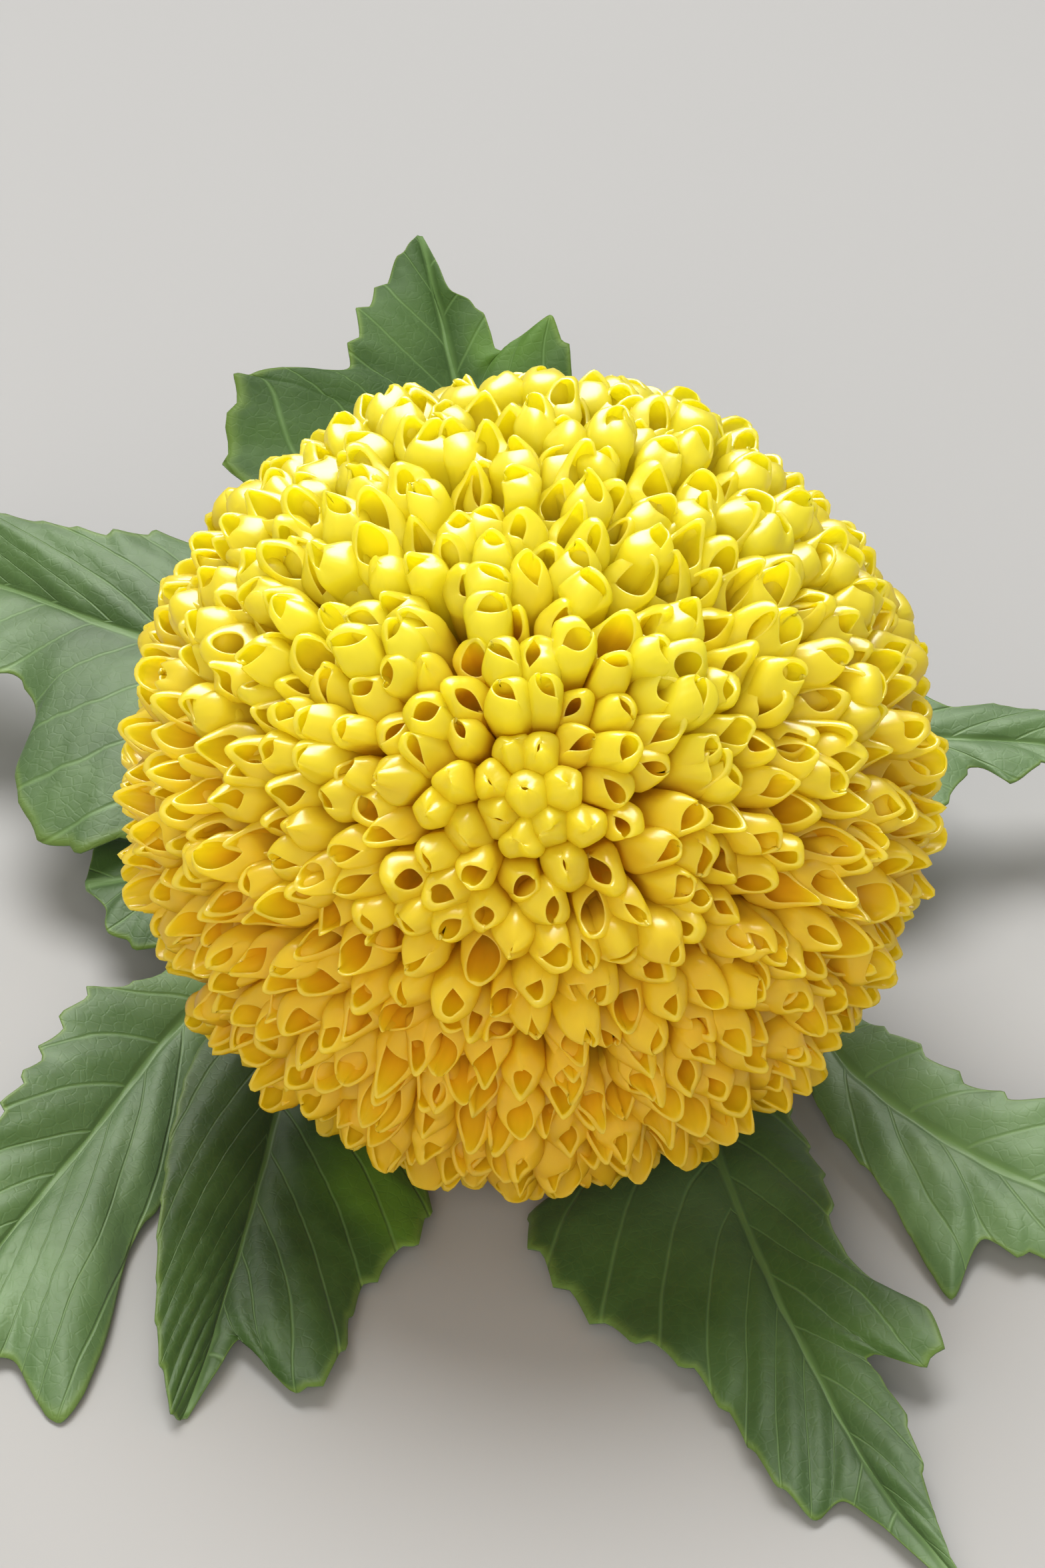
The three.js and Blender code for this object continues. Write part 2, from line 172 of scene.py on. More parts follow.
def noise(nt, scale, detail=3.0, rough=0.5, stretch=None, seed_shift=None):
    co = nt.nodes.new("ShaderNodeTexCoord").outputs["Object"]
    if stretch or seed_shift:
        m = nt.nodes.new("ShaderNodeMapping")
        if stretch:
            m.inputs["Scale"].default_value = stretch
        if seed_shift:
            m.inputs["Location"].default_value = seed_shift
        nt.links.new(co, m.inputs["Vector"])
        co = m.outputs[0]
    n = nt.nodes.new("ShaderNodeTexNoise")
    n.inputs["Scale"].default_value = scale
    n.inputs["Detail"].default_value = detail
    n.inputs["Roughness"].default_value = rough
    nt.links.new(co, n.inputs["Vector"])
    return n.outputs["Fac"]


def bump(nt, height, bsdf, strength, distance):
    n = nt.nodes.new("ShaderNodeBump")
    n.inputs["Strength"].default_value = strength
    n.inputs["Distance"].default_value = distance
    nt.links.new(height, n.inputs["Height"])
    nt.links.new(n.outputs[0], bsdf.inputs["Normal"])


def petal_material():
    mat, nt, bsdf = new_material("petal_yellow")
    depth = attribute(nt, "depth")  # 0 at the tips, 1 deep between the florets
    tone = attribute(nt, "tone")  # one value per floret
    inside = attribute(nt, "inside")  # 1 on the inner wall of a floret
    around = attribute(nt, "around")
    # painted shade: the base colour turns from lemon to orange with depth between the florets, standing in for the
    # shade and the light bounced between petals
    base = ramp(nt, depth, [
        (0.0, (0.930, 0.925, 0.034)),
        (0.10, (0.932, 0.905, 0.032)),
        (0.24, (0.945, 0.810, 0.029)),
        (0.42, (0.960, 0.640, 0.025)),
        (1.0, (0.960, 0.440, 0.022)),
    ])
    light = mix_color(nt, math_node(nt, "MULTIPLY", tone, 0.30), base, (0.94, 0.92, 0.040))
    # painted shade: the lower side of the bloom is painted golden
    painted_gold_shade = math_node(nt, "MULTIPLY", math_node(nt, "MULTIPLY", attribute(nt, "painted_warm_shade"), 1.4, clamp=True), 0.78)
    light = mix_color(nt, painted_gold_shade, light, (0.95, 0.765, 0.026))
    # painted shade: the inner wall of each floret is painted orange, more so deeper in
    inner = mix_color(nt, math_node(nt, "MULTIPLY", inside, math_node(nt, "MULTIPLY", depth, 2.4, clamp=True)), light, (0.965, 0.54, 0.024))
    # painted shade: the underside of the bloom is painted a deeper gold
    inner = mix_color(nt, math_node(nt, "MULTIPLY", attribute(nt, "lower"), 0.70), inner, (0.960, 0.65, 0.024))
    # painted highlight: the rolled rims are painted a pale whitish yellow
    inner = mix_color(nt, math_node(nt, "MULTIPLY", attribute(nt, "rim"), 0.58), inner, (0.95, 0.93, 0.32))
    blotch = noise(nt, 260.0, 1.0)
    col = mix_color(nt, math_node(nt, "MULTIPLY", blotch, 0.14), inner, (0.93, 0.86, 0.040))
    nt.links.new(col, bsdf.inputs["Base Color"])
    rough = math_node(nt, "ADD", math_node(nt, "MULTIPLY", blotch, 0.10), 0.30)
    nt.links.new(rough, bsdf.inputs["Roughness"])
    bsdf.inputs["Specular IOR Level"].default_value = 0.75
    bsdf.inputs["Coat Weight"].default_value = 1.0
    bsdf.inputs["Coat Roughness"].default_value = 0.23
    # fine veins that run the length of each floret
    veins = math_node(nt, "SINE", math_node(nt, "MULTIPLY", around, 88.0))
    bump(nt, veins, bsdf, 0.08, 0.00006)
    # thin living tissue lets light through, and turns it golden
    through = nt.nodes.new("ShaderNodeBsdfTranslucent")
    golden = mix_color(nt, 0.4, col, (0.98, 0.84, 0.030))
    nt.links.new(golden, through.inputs["Color"])
    both = nt.nodes.new("ShaderNodeMixShader")
    both.inputs["Fac"].default_value = 0.66
    nt.links.new(bsdf.outputs[0], both.inputs[1])
    nt.links.new(through.outputs[0], both.inputs[2])
    out = [n for n in nt.nodes if n.type == "OUTPUT_MATERIAL"][0]
    nt.links.new(both.outputs[0], out.inputs["Surface"])
    return mat


# ---------------------------------------------------------------- florets
def spaced_angles():
    """Polar angle of each floret, apex first: golden-angle spiral with wider florets further out."""
    polar = np.linspace(0.0, math.radians(152.5), 4000)
    deg = np.degrees(polar)
    area = np.interp(deg, [0, 10, 22, 40, 60, 85, 115, 152], [9.6, 10.6, 12.4, 13.6, 14.6, 16.0, 18.6, 22.5])
    count = np.concatenate([[0.0], np.cumsum(np.diff(polar) * 2 * np.pi * R * R
                                             * np.sin((polar[1:] + polar[:-1]) / 2) / ((area[1:] + area[:-1]) / 2))])
    n = int(count[-1])
    index = np.arange(n) + 0.5
    return np.interp(index, count, polar), np.interp(np.interp(index, count, deg), deg, area), n


def directions(polar, turn):
    return (np.cos(polar)[:, None] * AXIS + np.sin(polar)[:, None]
            * (np.cos(turn)[:, None] * ACROSS + np.sin(turn)[:, None] * UPWARD))


def tangents(out, polar, turn):
    to_apex = (np.sin(polar)[:, None] * AXIS - np.cos(polar)[:, None]
               * (np.cos(turn)[:, None] * ACROSS + np.sin(turn)[:, None] * UPWARD))
    return to_apex, np.cross(out, to_apex)


def jostled(polar, turn, spacing, rng):
    """Moves the florets off their spiral at random, then apart again until none sits on another."""
    n = len(polar)
    polar = polar + rng.normal(0, 0.30, n) * spacing / R
    turn = turn + rng.normal(0, 0.30, n) * spacing / (R * np.maximum(np.sin(polar), 0.1))
    out = directions(np.clip(np.abs(polar), 0.0, math.radians(153.5)), turn)
    for _ in range(36):
        to_apex, side = tangents(out, polar, turn)
        away = out[:, None, :] - out[None, :, :]
        slim = np.interp(np.degrees(polar), [8, 25, 70], [1.0, 1.13, 1.17])[:, None]
        dist = R * np.sqrt(((away * to_apex[:, None, :]).sum(-1) / slim) ** 2 + ((away * side[:, None, :]).sum(-1) * slim) ** 2)
        want = 0.5 * (spacing[:, None] + spacing[None, :]) * 1.16
        push = np.clip(want - dist, 0, None) * (dist > 1e-6) * 0.13 / R
        away /= np.linalg.norm(away, axis=-1, keepdims=True) + 1e-9
        out = out + (away * push[..., None]).sum(1)
        out /= np.linalg.norm(out, axis=-1, keepdims=True)
        polar = np.arccos(np.clip(out @ AXIS, -1, 1))
        turn = np.arctan2(out @ UPWARD, out @ ACROSS)
        polar = np.minimum(polar, math.radians(153.2))
        out = directions(polar, turn)
    return polar, turn


def floret_shapes():
    rng = np.random.default_rng(20)
    polar, area, n = spaced_angles()
    turn = np.arange(n) * math.radians(137.50776) + 0.9
    spacing = np.sqrt(area * 1.1547)
    polar, turn = jostled(polar, turn, spacing, rng)
    deg = np.degrees(polar)
    s = dict(n=n, polar=polar, turn=turn, spacing=spacing, deg=deg)

    def by(xs, ys):
        return np.interp(deg, xs, ys)

    # kinds: 0 closed bulb, 1 tube with a teardrop mouth, 2 almond mouth, 3 open scoop, 4 closed pointed tip, 5 hooded,
    # 6 tongue with its tip curled over
    chance = np.stack([
        by([0, 7, 12, 18, 60], [1.0, 0.60, 0.10, 0.01, 0.0]),
        by([0, 7, 12, 24, 36, 50], [0.0, 0.24, 0.52, 0.50, 0.12, 0.02]),
        by([0, 7, 12, 24, 36, 50], [0.0, 0.05, 0.10, 0.08, 0.02, 0.0]),
        by([0, 7, 12, 24, 36, 50], [0.0, 0.0, 0.06, 0.16, 0.38, 0.48]),
        by([0, 7, 12, 24, 36, 50], [0.0, 0.05, 0.08, 0.05, 0.01, 0.0]),
        by([0, 7, 12, 24, 36, 50], [0.0, 0.06, 0.14, 0.14, 0.04, 0.01]),
        by([0, 7, 12, 24, 36, 50], [0.0, 0.0, 0.06, 0.16, 0.44, 0.50]),
    ], 1)
    upper = np.clip(np.sin(turn) / 0.5, 0, 1) * by([14, 24, 75, 100], [0.0, 1.0, 1.0, 0.3])
    chance[:, 5] += 0.55 * upper
    chance[:, 3] *= 1 - 0.50 * upper
    chance[:, 6] *= 1 - 0.35 * upper
    chance = np.cumsum(chance / chance.sum(1, keepdims=True), 1)
    kind = (rng.random(n)[:, None] > chance).sum(1).clip(0, 6)
    s["kind"] = kind

    def pick(*ranges):
        """One random value per floret, from the range of its kind."""
        lo = np.array([r[0] for r in ranges])[kind]
        hi = np.array([r[1] for r in ranges])[kind]
        return lo + (hi - lo) * rng.random(n)

    s["size"] = rng.uniform(0.76, 1.26, n) * np.where((kind == 3) | (kind >= 5), 1.0, by([0, 25, 40], [1.0, 1.0, 0.86]))
    s["mouth_a"] = pick((0.26, 0.50), (0.68, 0.92), (0.64, 0.90), (0.84, 0.92), (0.22, 0.45), (0.58, 0.80), (0.58, 0.78))
    s["mouth_b"] = pick((0.10, 0.26), (0.44, 0.76), (0.34, 0.62), (0.66, 0.90), (0.03, 0.09), (0.28, 0.48), (0.46, 0.76))
    s["sharp_in"] = pick((0.2, 1.0), (0.8, 1.7), (0.7, 1.3), (0.3, 1.1), (0.8, 1.2), (0.2, 0.8), (0.5, 1.3))
    s["sharp_out"] = pick((0.0, 0.9), (0.0, 0.45), (0.6, 1.2), (0.0, 0.25), (0.8, 1.2), (0.1, 0.9), (0.0, 0.5))
    s["phi"] = rng.normal(0, 1, n) * np.array([1.6, 0.55, 0.65, 0.42, 0.3, 0.5, 0.44])[kind] + np.where(kind == 5, np.pi / 2 * rng.choice([-1, 1], n), 0.0)
    s["shift_y"] = pick((-0.38, 0.20), (-0.26, -0.10), (-0.20, 0.00), (-0.08, 0.03), (-0.42, -0.1), (-0.44, -0.22), (0.08, 0.26))
    s["shift_x"] = rng.normal(0, 0.09, n) * np.where(kind == 0, 2.4, 1.0)
    s["dome"] = pick((0.90, 1.20), (0.78, 1.10), (0.74, 1.00), (0.42, 0.66), (1.05, 1.45), (0.80, 1.10), (0.66, 0.98))
    s["thick"] = pick((0.40, 0.56), (0.22, 0.34), (0.24, 0.38), (0.20, 0.30), (0.28, 0.38), (0.22, 0.34), (0.26, 0.40))
    s["tilt"] = (pick((-0.3, 0.4), (1.0, 3.6), (0.0, 2.4), (1.8, 3.8), (-0.6, 1.6), (-0.8, 1.4), (1.2, 2.8))
                 * by([0, 12, 30, 60, 150], [0.3, 0.7, 0.9, 1.1, 1.0]))
    s["tip"] = pick((0.0, 0.1), (0.0, 0.8), (0.0, 0.4), (1.0, 3.0), (0.2, 1.0), (0.0, 0.5), (0.9, 2.5)) * by([0, 15, 45], [0.2, 0.7, 1.0])
    s["tip_wide"] = rng.uniform(0.55, 1.45, n)
    s["cup"] = pick((0.920, 0.940), (0.880, 0.910), (0.890, 0.920), (0.80, 0.84), (0.93, 0.95), (0.88, 0.91), (0.81, 0.85))
    s["seam"] = rng.uniform(0.0, 0.10, n) * (kind != 0)
    s["reach"] = rng.normal(0, 1, n) * by([0, 12, 25, 50], [0.28, 0.54, 0.68, 0.66]) + by([0, 12, 30], [-0.75, -0.65, -0.85]) + np.where(kind == 4, 0.35, 0.0)
    s["reach"] -= 0.9 * np.clip(0.45 * s["tilt"] + s["tip"] - 0.85, 0, None)
    s["roll"] = rng.normal(0, 1, n) * by([0, 12, 25, 60], [1.0, 0.8, 0.62, 0.34])
    s["lean_f"] = rng.normal(0, 0.018, n) * by([0, 15, 35, 60], [0.15, 0.6, 1.1, 1.3])
    s["lean_s"] = rng.normal(0, 0.018, n) * by([0, 15, 35, 60], [0.15, 0.6, 1.1, 1.3])
    s["hook"] = pick((0.1, 0.5), (0.8, 1.8), (0.6, 1.5), (0.3, 1.0), (0.7, 1.5), (0.6, 1.4), (0.1, 0.7)) * by([0, 8, 18, 60, 100], [0.0, 0.4, 1.0, 1.0, 0.7])
    s["press"] = by([0, 12, 30, 60, 100], [1.08, 1.03, 1.01, 1.05, 1.11]) + rng.normal(0, 0.035, n)
    s["wob2"] = rng.normal(0, 0.05, n)
    s["wob3"] = rng.normal(0, 0.035, n)
    s["ph2"] = rng.uniform(0, 2 * np.pi, n)
    s["ph3"] = rng.uniform(0, 2 * np.pi, n)
    s["tone"] = rng.random(n)

    # each floret's own frame, and how far it can swell before it meets its neighbours
    out = directions(polar, turn)
    to_apex, side = tangents(out, polar, turn)
    zone = by([12, 22, 60, 90], [0.0, 1.0, 1.0, 0.4])
    below = np.clip(-(out @ UPWARD) / 0.45, 0, 1) * zone
    above = np.clip((out @ UPWARD) / 0.45, 0, 1) * zone
    wide_open = (kind == 3) | (kind == 6)
    s["mouth_a"] *= 1 - 0.13 * zone * wide_open
    s["mouth_b"] *= 1 - 0.10 * zone * wide_open
    s["shift_y"] -= (0.15 * wide_open + 0.06) * below
    s["tilt"] *= 1 - 0.32 * below - 0.12 * above
    s["cup"] += 0.045 * above
    hooded = (kind == 5) * above
    s["tip"] = s["tip"] + hooded * (0.45 + 1.15 * s["tone"])
    s["dome"] *= 1 - 0.20 * above
    s["press"] += 0.045 * above
    s["hook"] *= 1 - 0.55 * hooded
    # the florets at the back get less of the painted shade
    s["painted_shade_share"] = 1 - 0.62 * np.clip((deg - 84) / 30, 0, 1)
    # painted shade: strong orange in the gaps round the apex
    s["heart"] = 0.85 * np.clip((38 - deg) / 16, 0, 1)
    roll = s["roll"][:, None]
    s["out"] = out
    s["to_apex"] = to_apex
    s["f"] = to_apex * np.cos(roll) + side * np.sin(roll)
    s["sd"] = side * np.cos(roll) - to_apex * np.sin(roll)
    dist = R * np.arccos(np.clip(out @ out.T, -1, 1))
    np.fill_diagonal(dist, 1e3)
    near = np.argsort(dist, axis=1)[:, :9]
    s["near_d"] = np.take_along_axis(dist, near, 1)
    s["room"] = s["near_d"][:, :6].mean(1)
    away = out[near] - out[:, None, :]
    s["near_u"] = np.arctan2((away * s["sd"][:, None, :]).sum(-1), (away * s["f"][:, None, :]).sum(-1))
    s["near_w"] = 2 * s["size"][:, None] / (s["size"][:, None] + s["size"][near])
    return s


def floret_block(s, pick, columns, quality):
    """Vertices (m, rows, columns, 3) and attributes of the picked florets."""
    m = len(pick)

    def g(key):
        return s[key][pick][:, None]

    u = np.linspace(0, 2 * np.pi, columns, endpoint=False)[None, :]
    su, cu = np.sin(u), np.cos(u)
    # outline of the swollen tube, pressed against its neighbours
    half = g("room") * 0.565 * np.sqrt(g("size"))
    facing = np.cos(u[:, None, :] - s["near_u"][pick][:, :, None])
    wall_at = np.where(facing > 0.12, 0.5 * (s["near_d"] * s["near_w"])[pick][:, :, None] / np.maximum(facing, 0.12), 50.0)
    press = (wall_at ** -12.0).sum(1) + (half * (1 + g("wob2") * np.cos(2 * u + g("ph2")))) ** -12.0
    cell = ((wall_at ** -16.0).sum(1) + (half * 1.30) ** -16.0) ** (-1 / 16.0) * 1.07
    body = press ** (-1 / 12.0) * g("press") * (1 + g("wob3") * np.cos(3 * u + g("ph3")))
    phi = g("phi")
    v = u - phi
    seam = np.exp(-(np.angle(np.exp(1j * v)) / 0.20) ** 2)
    body = body * (1 - g("seam") * seam)
    mean = body.mean(1, keepdims=True)
    bx, by_ = body * su, body * cu
    # outline of the mouth: v is 0 at its end towards the apex, where it is the sharper
    a = g("mouth_a") * mean
    b = g("mouth_b") * mean
    sharp = (np.abs(np.sin(v / 2)) + 1e-3) ** g("sharp_in") * (np.abs(np.cos(v / 2)) + 1e-3) ** g("sharp_out")
    peak = np.sqrt(g("sharp_in") / (g("sharp_in") + g("sharp_out") + 1e-6))
    wide = b * np.sin(v) * sharp / np.maximum(0.35, peak ** g("sharp_in") * np.sqrt(1 - np.minimum(peak, 0.98) ** 2) ** g("sharp_out"))
    mx = wide * np.cos(phi) + a * np.cos(v) * np.sin(phi) + g("shift_x") * mean
    my = a * np.cos(v) * np.cos(phi) - wide * np.sin(phi) + g("shift_y") * mean
    share = np.sqrt(mx * mx + my * my) / body
    too_far = np.minimum(1.0, 0.93 / np.maximum(share, 1e-6))
    mx, my = mx * too_far, my * too_far
    rho_m = np.clip(np.sqrt(mx * mx + my * my) / body, 0.03, 0.93)
    end = np.arccos(rho_m)
    dx, dy = bx - mx, by_ - my
    run = np.sqrt(dx * dx + dy * dy) + 1e-6
    ex, ey = dx / run, dy / run
    tip = g("tip") * np.exp(-((u - np.pi) / g("tip_wide")) ** 2)
    ripple = 0.10 * np.cos(2 * u + g("ph3")) + 0.07 * np.cos(3 * u + g("ph2"))
    height = g("dome") * mean * (1 + 0.10 * cu + ripple) + tip / np.maximum(np.sin(end), 0.36)
    thick = g("thick") * (1 + 0.45 * np.exp(-((u - np.pi) / 1.0) ** 2))
    rim = R + g("reach")
    shoulder = rim - g("dome") * mean * 0.94
    foot = 14.0
    deep = shoulder - foot
    rows = []

    def add(x, y, z, inside):
        z = z - g("tilt") * 0.5 * y / mean * np.clip((z - foot) / deep, 0, 1)
        rows.append((x, y, z, np.full((m, columns), inside)))

    def tube(share_deep, swell, inside, inset=0.0, fill=0.0):
        z = foot + deep * share_deep
        wide = (1 - fill) + fill * cell / body
        k = swell * (z / R) * wide - inset / mean
        add(bx * k, by_ * k, z + 0 * bx, inside)

    def dome(t, offset, forward, inside):
        psi = end * t
        c, q = np.cos(psi), np.sin(psi)
        s_ = (c - rho_m) / (1 - rho_m)
        z = shoulder + height * q
        n_out = height * c
        n_up = run * q / (1 - rho_m)
        ln = np.sqrt(n_out ** 2 + n_up ** 2) + 1e-6
        n_out, n_up = n_out / ln, n_up / ln
        w = thick / 2
        # the middle of the wall lies half a thickness under the outer face
        d_out = w * ((offset - 1) * n_out - forward * n_up)
        d_up = w * ((offset - 1) * n_up + forward * n_out)
        k = (shoulder + height * q) / R * 0.04 + 0.96
        add((mx + dx * s_) * k + ex * d_out, (my + dy * s_) * k + ey * d_out, z + d_up, inside)

    tube(-0.03, 0.05, 0.0)
    tube(0.0, 1.0, 0.0, fill=1.0)
    tube(0.86, 1.0, 0.0, fill=1.0)
    tube(0.965, 1.0, 0.0, fill=0.80)
    for t in ([0.0, 0.24, 0.46, 0.66, 0.84, 1.0] if quality else [0.0, 0.4, 0.75, 1.0]):
        dome(t, 1.0, 0.0, 0.0)
    if quality:
        dome(1.0, 0.71, 0.71, 0.15)
    dome(1.0, 0.0, 1.0, 0.35)
    if quality:
        dome(1.0, -0.71, 0.71, 0.7)
    for t in ([1.0, 0.70, 0.3] if quality else [1.0, 0.3]):
        dome(t, -1.0, 0.0, 1.0)
    cup = 1 - g("cup")
    tube(1 - cup * 0.30, 0.98, 1.0, 0.36)
    tube(1 - cup * 0.80, 0.86, 1.0, 0.46)
    tube(1 - cup, 0.10, 1.0)

    x = np.stack([r[0] for r in rows], 1)
    y = np.stack([r[1] for r in rows], 1)
    z = np.stack([r[2] for r in rows], 1)
    inside = np.stack([r[3] for r in rows], 1)

    out, f, sd = s["out"][pick], s["f"][pick], s["sd"][pick]
    lean = f * s["lean_f"][pick][:, None] + sd * s["lean_s"][pick][:, None]
    k = np.clip((z - 14.0) / 20.0, 0, 1)
    bend = (k ** 1.6)[..., None] * lean[:, None, None, :] * z[..., None]
    start = (shoulder - 3.4)[:, None, :]
    hook = g("hook")[:, None, :] * np.clip((z - start) / 5.4, 0, 1.4) ** 1.6
    p = (out[:, None, None, :] * z[..., None] + f[:, None, None, :] * y[..., None]
         + sd[:, None, None, :] * x[..., None] + bend - s["to_apex"][pick][:, None, None, :] * hook[..., None])
    length = np.linalg.norm(p, axis=-1, keepdims=True)
    limit = R + 0.2
    p = np.where(length > limit, p * (limit + (length - limit) * 0.3) / length, p)
    world = p + CENTRE
    low = world[..., 2]
    world[..., 2] = np.where(low < 0.6, 0.05 + 0.55 * np.exp(np.minimum((low - 0.6), 0) / 0.55), low)
    depth = np.clip((R - 1.0 - np.linalg.norm(p, axis=-1)) / 8.0, 0, 1)
    rowc = len(rows)
    along = np.broadcast_to(np.linspace(0, 1, rowc)[None, :, None], inside.shape)
    around = np.broadcast_to(u[None, :, :] / (2 * np.pi), inside.shape)
    tone = np.broadcast_to(s["tone"][pick][:, None, None], inside.shape)
    # painted shade is also weaker on the left and right sides of the bloom
    painted_shade_share = g("painted_shade_share")[:, None, :] * (1 - 0.34 * (p[..., 0] / R) ** 2)
    # painted shade: the underside of the bloom, painted a deeper gold in the petal material
    lower = np.clip((0.25 - p[..., 2] / R) / 0.9, 0, 1) * painted_shade_share
    # painted shade: how much golden shade is painted, growing towards the bottom of the bloom; it also scales the
    # painted orange in the gaps
    painted_warm_shade = np.clip((0.76 - p[..., 2] / R) / 0.80, 0, 1) * painted_shade_share
    # painted shade: the orange painted into the gaps is weaker on the upper side, where the light comes straight in,
    # and strong round the apex
    depth = depth * np.maximum(painted_warm_shade * 0.80 + 0.20, g("heart")[:, None, :])
    # painted highlight: a pale band on each rim, weaker on the lower side of the bloom
    painted_rim_highlight = np.clip(1.4 - 3.0 * np.abs(inside - 0.42), 0, 1) * (1 - 0.5 * lower)
    return world, dict(depth=depth, inside=inside, along=along, around=around, tone=tone, lower=lower, rim=painted_rim_highlight, painted_warm_shade=painted_warm_shade)


def grid_faces(m, rows, columns):
    a = np.arange(rows - 1)[:, None] * columns + np.arange(columns)[None, :]
    b = np.arange(rows - 1)[:, None] * columns + (np.arange(columns)[None, :] + 1) % columns
    quad = np.stack([a, b, b + columns, a + columns], -1).reshape(-1, 4)
    return (quad[None] + (np.arange(m) * rows * columns)[:, None, None]).reshape(-1, 4)


def end_faces(m, rows, cols):
    """Closes the foot and the bottom of the hollow of each of m tubes, with strips of quads across the ring."""
    k = np.arange(cols // 2 - 1)
    strip = np.stack([k, k + 1, cols - 2 - k, cols - 1 - k], 1)
    base = (np.arange(m) * rows * cols)[:, None, None]
    foot = base + strip[None, :, ::-1]
    floor = base + (rows - 1) * cols + strip[None]
    return np.concatenate([foot.reshape(-1, 4), floor.reshape(-1, 4)])


def build_florets(material):
    s = floret_shapes()
    row_of = np.minimum((s["polar"] / (BACK_EDGE / WHORLS)).astype(int), WHORLS - 1)
    total = 0
    for w in range(WHORLS):
        pick = np.where(row_of == w)[0]
        middle = (w + 0.5) * math.degrees(BACK_EDGE) / WHORLS
        if middle < 62:
            columns, quality = 30, True
        elif middle < 100:
            columns, quality = 22, True
        else:
            columns, quality = 18, False
        world, attrs = floret_block(s, pick, columns, quality)
        m, rows, cols, _ = world.shape
        faces = np.concatenate([grid_faces(m, rows, cols), end_faces(m, rows, cols)])
        ob = mesh_piece(f"ray_florets_{w + 1:02d}", world.reshape(-1, 3), faces, material,
                        {k: v.reshape(-1) for k, v in attrs.items()})
        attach(ob, "root")
        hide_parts(f"floret_whorl_{w + 1:02d}")
        total += 2 * len(faces)
    print("florets", s["n"], "triangles", total)


petal = petal_material()
build_florets(petal)
